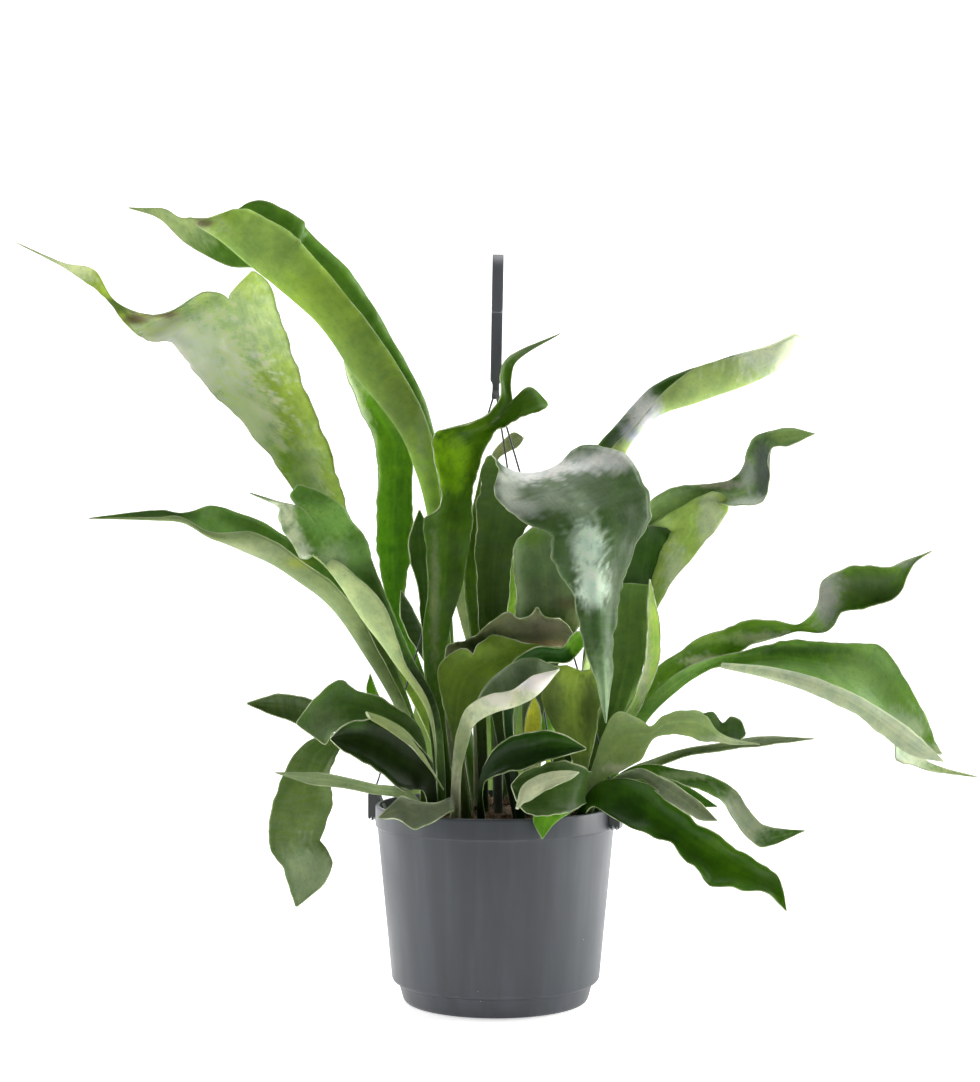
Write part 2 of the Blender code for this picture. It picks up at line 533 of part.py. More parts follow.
def as_cutter(obj, collection):
    for holder in list(obj.users_collection):
        holder.objects.unlink(obj)
    collection.objects.link(obj)
    obj.hide_render = True
    obj.display_type = "WIRE"
    return obj


def flat_outline(name, points, thickness):
    """A filled outline of (x, y) points in millimetres, extruded to a thickness along Z."""
    curve = bpy.data.curves.new(name, "CURVE")
    curve.dimensions = "2D"
    curve.fill_mode = "BOTH"
    curve.extrude = thickness / 2 * MM
    spline = curve.splines.new("POLY")
    spline.points.add(len(points) - 1)
    for point, (x, y) in zip(spline.points, points):
        point.co = (x * MM, y * MM, 0.0, 1.0)
    spline.use_cyclic_u = True
    obj = bpy.data.objects.new(name, curve)
    bpy.context.scene.collection.objects.link(obj)
    return obj


# --- pot, soil and crowns ------------------------------------------------------------------
def pot_inner_radius(z):
    """Inside radius of the body's tapered wall at a height."""
    share = (z - STEP_Z) / (POT_HEIGHT - RIM_BAND - STEP_Z)
    return BODY_FOOT_RADIUS + (BODY_TOP_RADIUS - BODY_FOOT_RADIUS) * share - WALL


def make_pot(collection, cutters):
    band_z = POT_HEIGHT - RIM_BAND
    outside = [
        (RIM_RADIUS - LIP_ROUND, POT_HEIGHT),
        (RIM_RADIUS - 0.3 * LIP_ROUND, POT_HEIGHT - 0.3 * LIP_ROUND),
        (RIM_RADIUS, POT_HEIGHT - LIP_ROUND),
        (RIM_RADIUS, band_z),
        (BODY_TOP_RADIUS, band_z - EDGE_BREAK),
        (BODY_FOOT_RADIUS, STEP_Z),
        (BODY_FOOT_RADIUS - EDGE_BREAK, STEP_Z - EDGE_BREAK),
        (FOOT_TOP_RADIUS, FOOT_TOP_Z),
        (FOOT_RADIUS + EDGE_BREAK, 2 * EDGE_BREAK),
        (FOOT_RADIUS - EDGE_BREAK, 0.0),
        (0.0, 0.0),
    ]
    rim_inside = RIM_RADIUS - 2 * WALL
    inside = [
        (0.0, FLOOR_THICKNESS),
        (FOOT_RADIUS - WALL, FLOOR_THICKNESS),
        (FOOT_TOP_RADIUS - WALL, FOOT_TOP_Z + CORNER_FILL),
        (BODY_FOOT_RADIUS - WALL, STEP_Z + CORNER_FILL),
        (pot_inner_radius(band_z), band_z),
        (rim_inside, band_z + CORNER_FILL),
        (rim_inside, POT_HEIGHT - 0.3 * LIP_ROUND),
        (rim_inside + 0.3 * LIP_ROUND, POT_HEIGHT),
        (RIM_RADIUS - LIP_ROUND, POT_HEIGHT),
    ]
    pot = turned("hanging_pot", outside + inside)
    tools = []
    for i in range(DRAIN_HOLES):
        angle = 2 * math.pi * (i + 0.5) / DRAIN_HOLES
        bpy.ops.mesh.primitive_cylinder_add(
            vertices=12, radius=DRAIN_HOLE_RADIUS * MM, depth=3 * FLOOR_THICKNESS * MM,
            location=(DRAIN_RING_RADIUS * MM * math.cos(angle),
                      DRAIN_RING_RADIUS * MM * math.sin(angle), FLOOR_THICKNESS / 2 * MM))
        tools.append(bpy.context.object)
    slot_room = CLEARANCE + 0.1
    tongue_middle, tongue_height = (SLOT_Z[0] + SLOT_Z[1]) / 2, SLOT_Z[1] - SLOT_Z[0]
    for turn in HANGER_TURNS.values():
        angle = math.radians(turn)
        bpy.ops.mesh.primitive_cube_add(
            size=1.0, rotation=(0.0, 0.0, angle),
            location=(RIM_RADIUS * MM * math.cos(angle), RIM_RADIUS * MM * math.sin(angle),
                      tongue_middle * MM))
        slot = bpy.context.object
        slot.dimensions = (8 * WALL * MM, (CLIP_WIDTH + 2 * slot_room) * MM,
                           (tongue_height + 2 * slot_room) * MM)
        tools.append(slot)
    cut(pot, [as_cutter(tool, cutters) for tool in tools])
    return finish(pot, collection, (0.10, 0.107, 0.118), 0.42)


def make_soil(collection):
    lowest = FLOOR_THICKNESS + CLEARANCE
    gap = CLEARANCE + 0.1
    shoulder = SOIL_TOP - SOIL_ROUND
    soil = turned("potting_mix", [
        (0.0, SOIL_TOP),
        (pot_inner_radius(shoulder) - gap - SOIL_ROUND, SOIL_TOP),
        (pot_inner_radius(shoulder) - gap, shoulder),
        (BODY_FOOT_RADIUS - WALL - gap, STEP_Z + CORNER_FILL),
        (FOOT_TOP_RADIUS - WALL - 2 * gap, FOOT_TOP_Z + CORNER_FILL + gap),
        (FOOT_RADIUS - WALL - 2 * gap, lowest),
        (0.0, lowest),
    ])
    return finish(soil, collection, (0.045, 0.03, 0.02), 0.95)


def make_crown(name, x, y, radius, collection):
    """A low pad of rhizome on the soil, flat on top where the stipes stand."""
    foot = SOIL_TOP + CLEARANCE
    bpy.ops.mesh.primitive_cylinder_add(
        vertices=28, radius=radius * MM, depth=(CROWN_TOP - foot) * MM,
        location=(x * MM, y * MM, (CROWN_TOP + foot) / 2 * MM))
    crown = bpy.context.object
    crown.name = name
    edge = crown.modifiers.new("Round", "BEVEL")
    edge.width = CROWN_ROUND * MM
    edge.segments = 1
    edge.limit_method = "ANGLE"
    return finish(crown, collection, (0.07, 0.05, 0.025), 0.95)


# --- fronds --------------------------------------------------------------------------------
def section(row):
    first, midrib, second, depths = row
    return [from_elevation(x, z, d) for (x, z), d in zip((first, midrib, second), depths)]


def base_section(x, y, turn):
    """The stipe's foot, flat on the crown."""
    half = Vector((math.cos(math.radians(turn)), math.sin(math.radians(turn)), 0.0))
    half *= STIPE_WIDTH / 2 * MM
    middle = Vector((x, y, CROWN_TOP + SEAT_LIFT)) * MM
    return [middle - half, middle, middle + half]


def tip_section(tip, before):
    point = from_elevation(*tip)
    return [point + (edge - before[1]) * TIP_SHARE for edge in before]


def across(section_points, v):
    """A point on the smooth arch through a section's edge, midrib and other edge."""
    first, midrib, second = section_points
    return first * ((1 - v) * (1 - 2 * v)) + midrib * (4 * v * (1 - v)) + second * (v * (2 * v - 1))


def half_section(section_points, start):
    return [across(section_points, start + share) for share in (0.0, 0.25, 0.5)]


def spread(sections, count, lead=0):
    """Carries `count` evenly spaced rows along smooth curves through the sections."""
    stations = [0.0]
    for a, b in zip(sections, sections[1:]):
        stations.append(stations[-1] + max((b[1] - a[1]).length, SHORTEST_RUN * MM))
    slopes = []
    for i in range(len(sections)):
        before, after = max(i - 1, 0), min(i + 1, len(sections) - 1)
        run = stations[after] - stations[before]
        slopes.append([(sections[after][k] - sections[before][k]) / run for k in range(3)])
    rows = []
    for step in range(count + 1):
        s = stations[lead] + (stations[-1] - stations[lead]) * step / count
        i = max(j for j in range(lead, len(sections) - 1) if stations[j] <= s + 1e-9)
        run = stations[i + 1] - stations[i]
        t = min((s - stations[i]) / run, 1.0)
        a, b = 2 * t**3 - 3 * t**2 + 1, t**3 - 2 * t**2 + t
        c, d = 3 * t**2 - 2 * t**3, t**3 - t**2
        rows.append([sections[i][k] * a + slopes[i][k] * (b * run)
                     + sections[i + 1][k] * c + slopes[i + 1][k] * (d * run) for k in range(3)])
    return rows


def blade_grid(bm, sections, columns, lead=0):
    """A grid laid over the sections, with rows about ROW_LENGTH apart."""
    length = sum((b[1] - a[1]).length for a, b in zip(sections[lead:], sections[lead + 1:]))
    count = max(round(length / (ROW_LENGTH * MM)), 2)
    rows = spread(sections, count, lead)
    made = bmesh.ops.create_grid(bm, x_segments=columns, y_segments=count, size=0.5)
    for vert in made["verts"]:
        u, v = vert.co.y + 0.5, vert.co.x + 0.5
        vert.co = across(rows[round(u * count)], v)


def make_frond(name, base, sections, tip, lobes, collection):
    places = [base_section(*base)] + [section(row) for row in sections]
    mesh = bpy.data.meshes.new(name)
    bm = bmesh.new()
    if lobes:
        blade_grid(bm, places, 4)
        for side, (lobe_sections, lobe_tip) in enumerate(lobes):
            halves = [half_section(row, 0.5 * side) for row in places[-2:]]
            rows = halves + [section(row) for row in lobe_sections]
            rows.append(tip_section(lobe_tip, rows[-1]))
            blade_grid(bm, rows, 2, lead=1)
    else:
        places.append(tip_section(tip, places[-1]))
        blade_grid(bm, places, 4)
    bmesh.ops.remove_doubles(bm, verts=bm.verts, dist=SAME_POINT * MM)
    bm.to_mesh(mesh)
    bm.free()
    mesh.shade_smooth()
    frond = bpy.data.objects.new(name, mesh)
    solid = frond.modifiers.new("Thickness", "SOLIDIFY")
    solid.thickness = FROND_THICKNESS * MM
    solid.offset = 0.0
    bpy.context.scene.collection.objects.link(frond)
    return finish(frond, collection, (0.09, 0.17, 0.05), 0.5)


# --- hanger --------------------------------------------------------------------------------
def on_turn(obj, turn):
    """Stands a flat outline up, its x pointing outward from the pot's axis at a turn."""
    obj.rotation_euler = (math.radians(90), 0.0, math.radians(turn))
    return obj


def make_hook(collection):
    """The strap and its open hook, cut from one flat outline in the YZ plane."""
    half = HOOK_THICKNESS / 2
    front = -2 * HOOK_BEND_RADIUS
    outer, inner = [], []
    for i in range(HOOK_BEND_STEPS + 1):
        angle = math.pi * i / HOOK_BEND_STEPS
        for radius, line in ((HOOK_BEND_RADIUS + half, outer), (HOOK_BEND_RADIUS - half, inner)):
            line.append((-HOOK_BEND_RADIUS + radius * math.cos(angle),
                         HOOK_BEND_UP + radius * math.sin(angle)))
    points = [(half, EDGE_BREAK)] + outer
    points += [(front - half, HOOK_LIP_UP + 2 * EDGE_BREAK),
               (front - half + EDGE_BREAK, HOOK_LIP_UP),
               (front + half - EDGE_BREAK, HOOK_LIP_UP),
               (front + half, HOOK_LIP_UP + 2 * EDGE_BREAK)]
    points += inner[::-1]
    points += [(-half, EDGE_BREAK), (-half + EDGE_BREAK, 0.0), (half - EDGE_BREAK, 0.0)]
    hook = flat_outline("hanger_hook", points, HOOK_WIDTH)
    hook.matrix_world = (Matrix.Translation((0.0, 0.0, HUB_Z * MM))
                         @ Matrix.Rotation(math.radians(HOOK_LEAN), 4, "Y")
                         @ Matrix.Rotation(math.radians(90), 4, "Z")
                         @ Matrix.Rotation(math.radians(90), 4, "X"))
    return finish(hook, collection, (0.19, 0.20, 0.215), 0.5)


def make_wire(name, turn, collection):
    """A straight taut wire from the hub to the groove in its clip."""
    angle = math.radians(turn)
    outward = Vector((math.cos(angle), math.sin(angle), 0.0))
    route = [WIRE_START, *WIRE_KNEE, (GROOVE_RADIUS, CLIP_Z[1]),
             (GROOVE_RADIUS, GROOVE_FLOOR_Z + CLEARANCE)]
    curve = bpy.data.curves.new(name, "CURVE")
    curve.dimensions = "3D"
    curve.bevel_depth = WIRE_RADIUS * MM
    curve.bevel_resolution = 2
    curve.use_fill_caps = True
    spline = curve.splines.new("POLY")
    spline.points.add(len(route) - 1)
    for point, (radius, z) in zip(spline.points, route):
        point.co = (*(outward * radius * MM).xy, z * MM, 1.0)
    wire = bpy.data.objects.new(name, curve)
    bpy.context.scene.collection.objects.link(wire)
    return finish(wire, collection, (0.035, 0.037, 0.04), 0.45, 0.6)


def make_clip(name, turn, collection):
    """Two prongs with the wire's groove between them, and a barbed tongue through the rim."""
    inner, outer = CLIP_INNER_RADIUS, CLIP_INNER_RADIUS + CLIP_DEPTH
    low, high = CLIP_Z
    groove_in, groove_out = GROOVE_RADIUS - GROOVE_HALF, GROOVE_RADIUS + GROOVE_HALF
    mouth = high - EDGE_BREAK
    tongue_low, tongue_high = SLOT_Z
    tongue_end = RIM_RADIUS - TONGUE_LENGTH
    barb_root, barb_low = tongue_end + BARB[0], tongue_low - BARB[1]
    points = [
        (inner, low + 3 * EDGE_BREAK), (inner + 3 * EDGE_BREAK, low),
        (outer - 4 * EDGE_BREAK, low), (outer - EDGE_BREAK, low + 2 * EDGE_BREAK),
        (outer, low + 5 * EDGE_BREAK), (outer, mouth), (outer - EDGE_BREAK, high),
        (groove_out + EDGE_BREAK / 2, high), (groove_out, mouth), (groove_out, GROOVE_FLOOR_Z),
        (groove_in, GROOVE_FLOOR_Z), (groove_in, mouth), (groove_in - EDGE_BREAK / 2, high),
        (inner, high), (inner, tongue_high), (tongue_end + EDGE_BREAK, tongue_high),
        (tongue_end, tongue_high - EDGE_BREAK), (tongue_end, barb_low), (barb_root, barb_low),
        (barb_root, tongue_low), (inner, tongue_low),
    ]
    clip = on_turn(flat_outline(name, points, CLIP_WIDTH), turn)
    return finish(clip, collection, (0.12, 0.125, 0.135), 0.45)


def main():
    for obj in list(bpy.data.objects):
        bpy.data.objects.remove(obj)
    parts = new_collection("staghorn_fern")
    cutters = new_collection("cutters")
    make_pot(parts, cutters)
    make_soil(parts)
    for name, (x, y, radius) in CROWNS.items():
        make_crown(name, x, y, radius, parts)
    make_hook(parts)
    for place, turn in HANGER_TURNS.items():
        make_wire("hanger_wire_" + place, turn, parts)
        make_clip("rim_clip_" + place, turn, parts)
    for name, (base, sections, tip, lobes) in FRONDS.items():
        make_frond(name, base, sections, tip, lobes, parts)


main()
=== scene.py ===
# %% [markdown]
# # A staghorn fern in a hanging pot
# A staghorn fern grows long, leathery, antler-shaped fronds from a low brown crown. This one
# lives in a plain plastic pot that hangs on three wires and a hook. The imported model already
# holds every piece at its real size, so this lesson gives each of them its fine shape and its
# finish, and leaves their places alone.

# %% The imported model
import json
import math
import random

import bmesh
import bpy
from mathutils import Matrix, Vector, noise
from mathutils.kdtree import KDTree


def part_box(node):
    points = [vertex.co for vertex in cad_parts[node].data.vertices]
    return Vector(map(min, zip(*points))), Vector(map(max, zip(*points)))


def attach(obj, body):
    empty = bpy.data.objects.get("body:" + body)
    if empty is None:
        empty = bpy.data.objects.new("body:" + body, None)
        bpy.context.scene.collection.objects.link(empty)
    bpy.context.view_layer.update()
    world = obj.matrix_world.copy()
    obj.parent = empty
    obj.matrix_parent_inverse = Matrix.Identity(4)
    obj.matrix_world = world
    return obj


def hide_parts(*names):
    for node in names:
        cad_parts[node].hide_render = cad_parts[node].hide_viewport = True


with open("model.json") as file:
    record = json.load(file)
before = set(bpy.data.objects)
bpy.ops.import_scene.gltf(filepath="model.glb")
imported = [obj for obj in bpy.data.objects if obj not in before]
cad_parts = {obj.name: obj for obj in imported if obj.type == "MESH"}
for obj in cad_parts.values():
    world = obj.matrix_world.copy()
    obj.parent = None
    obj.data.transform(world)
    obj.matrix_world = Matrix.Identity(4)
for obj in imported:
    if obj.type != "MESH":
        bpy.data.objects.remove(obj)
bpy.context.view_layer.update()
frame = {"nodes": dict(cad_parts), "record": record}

MM = 0.001
slot_of = {part["node"]: part["material_slot"] for part in frame["record"]["subparts"]}

# %% [markdown]
# ## Camera
# The camera is level with the middle of the plant, 1.5 m in front of the pot. A fairly long
# lens keeps the near fronds from looking bigger than they are.

# %% Camera
EYE = Vector((-4.0, -1500.0, 324.0)) * MM
lens = bpy.data.cameras.new("camera")
lens.lens = 70.49
lens.sensor_width = 36.0
camera = bpy.data.objects.new("camera", lens)
camera.location = EYE
camera.rotation_euler = (math.radians(90), 0.0, 0.0)
bpy.context.scene.collection.objects.link(camera)
bpy.context.scene.camera = camera
bpy.context.scene.view_settings.view_transform = "Standard"
print("camera at", tuple(EYE))


# %% [markdown]
# ## Helpers
# Every piece is drawn as a bmesh, which becomes an object at the origin, rides on the one body
# of the plant and stands for its solid. These short functions do that, give a sheet its
# thickness and an edge its softness, start a material, and add and join shader nodes.

# %% Helpers that every piece uses
def new_object(name, bm, smooth=True):
    """Makes an object of a finished bmesh and links it to the scene."""
    mesh = bpy.data.meshes.new(name)
    bm.to_mesh(mesh)
    bm.free()
    if smooth:
        mesh.shade_smooth()
    obj = bpy.data.objects.new(name, mesh)
    bpy.context.scene.collection.objects.link(obj)
    return obj


def stands_for(obj, node, *materials):
    """Gives a piece its materials and lets it stand for a solid of the frame."""
    for material in materials:
        obj.data.materials.append(material)
    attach(obj, "root")
    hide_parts(node)
    return obj


def extra_piece(obj, slot, *materials):
    """Gives its materials to a piece that stands for no solid."""
    for material in materials:
        obj.data.materials.append(material)
    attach(obj, "root")
    return obj


def thicken(obj, name, thickness):
    """Gives a sheet its thickness in millimetres, half of it to each side."""
    solid = obj.modifiers.new(name, "SOLIDIFY")
    solid.thickness = thickness * MM
    solid.offset = 0.0
    return solid


def soften_edges(obj, name, width, segments=3):
    """Bevels the edges that turn sharply, by a width in millimetres."""
    bevel = obj.modifiers.new(name, "BEVEL")
    bevel.width = width * MM
    bevel.segments = segments
    bevel.limit_method = "ANGLE"


def heading(turn):
    """The level direction at a turn about Z, in degrees."""
    return Vector((math.cos(math.radians(turn)), math.sin(math.radians(turn)), 0.0))


def new_material(name):
    """A material, its Principled shader and the Object coordinates."""
    material = bpy.data.materials.new(name)
    material.use_nodes = True
    place = material.node_tree.nodes.new("ShaderNodeTexCoord")
    return material, material.node_tree.nodes["Principled BSDF"], place.outputs["Object"]


def add_node(material, kind, **inputs):
    """Adds a shader node and sets its inputs by name (an underscore stands for a space)."""
    made = material.node_tree.nodes.new(kind)
    for key, value in inputs.items():
        made.inputs[key.replace("_", " ")].default_value = value
    return made


def wire_up(material, source, target, output=0):
    material.node_tree.links.new(source.outputs[output], target)


print("helpers ready")


# %% [markdown]
# ## Floor
# The plant stands on a pale floor that sweeps up behind it, so that no horizon line shows. A
# plane and a wall would leave a corner, so the sweep is one grid whose rows are laid along a
# bent path.

# %% Floor sweep
FLAT, BEND, WALL_UP = 4.2, 1.1, 2.6      # lengths of the paper, in metres
FLOOR_START = -2.6
FLOOR_WIDTH = 9.0
UNDER_POT = 0.0004                       # keeps the paper just clear of the pot's foot
SWEEP_ROWS = 60


def floor_path(t):
    """Depth and height of the sweep at a share of its length, in metres."""
    run = t * (FLAT + BEND * math.pi / 2 + WALL_UP)
    if run < FLAT:
        return FLOOR_START + run, 0.0
    angle = (run - FLAT) / BEND
    if angle < math.pi / 2:
        return FLOOR_START + FLAT + BEND * math.sin(angle), BEND * (1 - math.cos(angle))
    return FLOOR_START + FLAT + BEND, BEND + (run - FLAT - BEND * math.pi / 2)


bm = bmesh.new()
grid = bmesh.ops.create_grid(bm, x_segments=2, y_segments=SWEEP_ROWS, size=0.5)
for vert in grid["verts"]:
    y, z = floor_path(vert.co.y + 0.5)
    vert.co = (vert.co.x * FLOOR_WIDTH, y, z - UNDER_POT)
floor = new_object("floor_sweep", bm)
print("floor sweep of", len(floor.data.polygons), "faces")

# %% [markdown]
# The paper glows a little, so that it stays white without harsh lamps. It doesn't glow in front
# of the plant, where it would light the leaves from below. The camera sees the same glow all
# over, so that the paper doesn't go dark in the views from behind.

# %% Pale paper
GLOW = 0.55
paper, sheet, place = new_material("pale_paper")
sheet.inputs["Base Color"].default_value = (0.9, 0.9, 0.9, 1)
sheet.inputs["Roughness"].default_value = 0.9
sheet.inputs["Emission Color"].default_value = (1, 1, 1, 1)
apart = paper.node_tree.nodes.new("ShaderNodeSeparateXYZ")
fade = add_node(paper, "ShaderNodeMapRange", From_Min=-1.0, From_Max=-0.25, To_Max=GLOW)
paper.node_tree.links.new(place, apart.inputs["Vector"])
wire_up(paper, apart, fade.inputs["Value"], 1)
wire_up(paper, fade, sheet.inputs["Emission Strength"])
seen_by = paper.node_tree.nodes.new("ShaderNodeLightPath")
glow = add_node(paper, "ShaderNodeMapRange", To_Max=GLOW)
wire_up(paper, seen_by, glow.inputs["Value"])
wire_up(paper, glow, fade.inputs["To Min"])
floor.data.materials.append(paper)
print("paper glows at", GLOW)

# %% [markdown]
# ## Light
# Broad, soft lamps stand on both sides a little behind the plant, because leaves are thin and
# look alive when some light comes through them. A weak one fills the front. Where the paper
# ends the camera sees a pale studio, though hardly any light comes from there.

# %% Lamps
def soft_lamp(name, place, target, size, power):
    light = bpy.data.lights.new(name, "AREA")
    light.shape = "RECTANGLE"
    light.size, light.size_y = size
    light.energy = power
    lamp = bpy.data.objects.new(name, light)
    lamp.location = place
    aim = Vector(target) - Vector(place)
    lamp.rotation_euler = aim.to_track_quat("-Z", "Y").to_euler()
    bpy.context.scene.collection.objects.link(lamp)
    return lamp


STUDIO_LIGHT, STUDIO_SEEN = 0.04, 0.85      # how bright it is, and how bright it looks
middle = (0.0, 0.0, 0.25)
soft_lamp("front_fill", (-0.9, -2.1, 1.5), middle, (1.4, 1.4), 1.6)
soft_lamp("side_left", (-1.6, 0.15, 0.75), middle, (1.1, 1.8), 32.0)
soft_lamp("side_right", (1.6, 0.10, 0.75), middle, (1.1, 1.8), 50.0)
soft_lamp("overhead", (0.0, 0.3, 2.2), middle, (1.6, 1.6), 26.0)
soft_lamp("backdrop_wash", (0.0, 1.2, 2.4), (0.0, 2.7, 0.9), (3.4, 0.8), 30.0)
sky = bpy.data.worlds.new("studio")
sky.use_nodes = True
sky.node_tree.nodes["Background"].inputs["Color"].default_value = (1.0, 1.0, 1.0, 1.0)
rays = sky.node_tree.nodes.new("ShaderNodeLightPath")
strength = sky.node_tree.nodes.new("ShaderNodeMapRange")
strength.inputs["To Min"].default_value = STUDIO_LIGHT
strength.inputs["To Max"].default_value = STUDIO_SEEN
sky.node_tree.links.new(rays.outputs["Is Camera Ray"], strength.inputs["Value"])
sky.node_tree.links.new(strength.outputs["Result"],
                        sky.node_tree.nodes["Background"].inputs["Strength"])
bpy.context.scene.world = sky

# %% [markdown]
# ## The finish of a frond
# A frond is leathery and dull. Its upper side is deep green under a thin grey-white down of
# star-shaped hairs, which rubs off in streaks. Its underside is paler and felted, and its margin
# is a thin pale line. All of that is built from noise on the object's own coordinates and on a
# map of the blade: x runs across it and y along it, both in metres. How green each frond is, is
# painted on its points together with painted light and shade, so one set of four materials
# serves every frond. Part of the light goes through the blade, which a Translucent shader carries.

# %% Nodes shared by the sides of a frond
MARGIN = (0.46, 0.52, 0.30, 1.0)
DOWN = (0.30, 0.36, 0.31, 1.0)
THROUGH = 0.22           # share of the light that passes through a blade


def mix_colours(material, factor, first, second, blend="MIX"):
    """Mixes two colours. factor, first and second are sockets or plain values."""
    mix = material.node_tree.nodes.new("ShaderNodeMix")
    mix.data_type = "RGBA"
    mix.blend_type = blend
    for number, value in ((0, factor), (6, first), (7, second)):
        socket = mix.inputs[number]
        if isinstance(value, bpy.types.NodeSocket):
            material.node_tree.links.new(value, socket)
        else:
            socket.default_value = value
    return mix.outputs[2]


def arithmetic(material, operation, first, second):
    sums = material.node_tree.nodes.new("ShaderNodeMath")
    sums.operation = operation
    for socket, value in zip(sums.inputs, (first, second)):
        if isinstance(value, bpy.types.NodeSocket):
            material.node_tree.links.new(value, socket)
        else:
            socket.default_value = value
    return sums.outputs[0]


def noise_on(material, coordinates, scale, stretch=(1.0, 1.0, 1.0), detail=4.0, roughness=0.55):
    """A noise pattern on stretched coordinates, as a number from 0 to 1."""
    mapping = add_node(material, "ShaderNodeMapping", Scale=stretch)
    pattern = add_node(material, "ShaderNodeTexNoise", Scale=scale, Detail=detail,
                       Roughness=roughness)
    material.node_tree.links.new(coordinates, mapping.inputs["Vector"])
    wire_up(material, mapping, pattern.inputs["Vector"])
    return pattern.outputs["Fac"]


def remap(material, value, low, high, to_low=0.0, to_high=1.0):
    span = add_node(material, "ShaderNodeMapRange", From_Min=low, From_Max=high,
                    To_Min=to_low, To_Max=to_high)
    span.interpolation_type = "SMOOTHSTEP"
    material.node_tree.links.new(value, span.inputs["Value"])
    return span.outputs["Result"]


def attribute(material, name, output):
    reader = material.node_tree.nodes.new("ShaderNodeAttribute")
    reader.attribute_name = name
    return reader.outputs[output]


def raise_relief(material, relief, skin, strength, distance):
    """Lets a pattern stand up from the surface, by a distance in metres."""
    bump = add_node(material, "ShaderNodeBump", Strength=strength, Distance=distance)
    material.node_tree.links.new(relief, bump.inputs["Height"])
    wire_up(material, bump, skin.inputs["Normal"])


print("node helpers ready")

# %% [markdown]
# The two sides of a blade are the same but for their tint, their down and their felt, so one
# function makes both. It lays the finish on in the order in which the eye reads it: mottling,
# pores, veins, down, and last the pale margin.

# %% The two sides of a blade
def leaf_material(name, tint_name, down_share, felt_height, sheen, rough, pore_share):
    """The skin of one side: tint_name is the painted colour, sheen the light its hairs catch."""
    material, skin, place = new_material(name)
    tree = material.node_tree
    blade = tree.nodes.new("ShaderNodeUVMap")
    blade.uv_map = "blade"
    blade = blade.outputs["UV"]
    tint = attribute(material, tint_name, "Color")
    # broad mottling, then fine dark pores, then the faint veins that fork along the blade
    mottle = noise_on(material, place, 95.0, detail=6.0, roughness=0.62)
    colour = mix_colours(material, remap(material, mottle, 0.32, 0.68), tint,
                         mix_colours(material, 1.0, tint, (1.42, 1.28, 1.25, 1.0), "MULTIPLY"))
    pores = noise_on(material, place, 480.0, detail=4.0, roughness=0.65)
    colour = mix_colours(material, remap(material, pores, 0.54, 0.68, 0.0, pore_share), colour,
                         mix_colours(material, 1.0, tint, (0.42, 0.50, 0.35, 1.0), "MULTIPLY"))
    veins = noise_on(material, blade, 1.0, (420.0, 16.0, 1.0), detail=3.0)
    colour = mix_colours(material, remap(material, veins, 0.42, 0.66, 0.0, 0.16), colour,
                         mix_colours(material, 1.0, tint, (1.7, 1.6, 1.5, 1.0), "MULTIPLY"))
    # the down lies in slanting streaks and soft clouds
    streaks = noise_on(material, blade, 1.0, (70.0, 300.0, 1.0), detail=5.0, roughness=0.6)
    clouds = noise_on(material, place, 30.0, detail=2.0)
    downy = arithmetic(material, "MULTIPLY", remap(material, streaks, 0.30, 0.72),
                       remap(material, clouds, 0.30, 0.70, 0.35, 1.0))
    downy = arithmetic(material, "MULTIPLY", downy, attribute(material, "down", "Fac"))
    colour = mix_colours(material, arithmetic(material, "MULTIPLY", downy, down_share), colour,
                         DOWN)
    # the margin is pale for under a millimetre, and here and there hardly at all
    near_margin = remap(material, attribute(material, "to_margin", "Fac"), 0.0002, 0.0009,
                        0.60, 0.0)
    near_margin = arithmetic(material, "MULTIPLY", near_margin,
                             remap(material, noise_on(material, place, 70.0, detail=2.0),
                                   0.35, 0.65, 0.15, 1.0))
    colour = mix_colours(material, near_margin, colour, MARGIN)
    tree.links.new(colour, skin.inputs["Base Color"])
    tree.links.new(remap(material, mottle, 0.3, 0.7, rough - 0.06, rough + 0.06),
                   skin.inputs["Roughness"])
    skin.inputs["Specular IOR Level"].default_value = 0.26
    skin.inputs["Sheen Weight"].default_value = sheen
    skin.inputs["Sheen Roughness"].default_value = 0.45
    skin.inputs["Sheen Tint"].default_value = (0.86, 0.95, 0.88, 1.0)
    # felt and veins stand up a little
    felt = noise_on(material, place, 900.0, detail=4.0, roughness=0.7)
    relief = arithmetic(material, "ADD", felt, arithmetic(material, "MULTIPLY", veins, 1.4))
    relief = arithmetic(material, "ADD", relief, arithmetic(material, "MULTIPLY", mottle, 1.5))
    raise_relief(material, relief, skin, 0.55, felt_height)
    glow = tree.nodes.new("ShaderNodeBsdfTranslucent")
    lit = mix_colours(material, 1.0, colour, (1.35, 1.45, 0.8, 1.0), "MULTIPLY")
    tree.links.new(lit, glow.inputs["Color"])
    both = tree.nodes.new("ShaderNodeMixShader")
    both.inputs["Fac"].default_value = THROUGH
    tree.links.new(skin.outputs["BSDF"], both.inputs[1])
    tree.links.new(glow.outputs["BSDF"], both.inputs[2])
    wire_up(material, both, tree.nodes["Material Output"].inputs["Surface"])
    return material


satin_skin = leaf_material("frond_satin_side", "upper_tint", 0.70, 0.00018, 0.03, 0.36, 0.35)
downy_skin = leaf_material("frond_downy_side", "upper_tint", 0.80, 0.00026, 0.22, 0.50, 0.40)
felted_skin = leaf_material("frond_felted_underside", "under_tint", 0.30, 0.00034, 0.05, 0.56,
                            0.24)
print("skins:", [m.name for m in (satin_skin, downy_skin, felted_skin)])

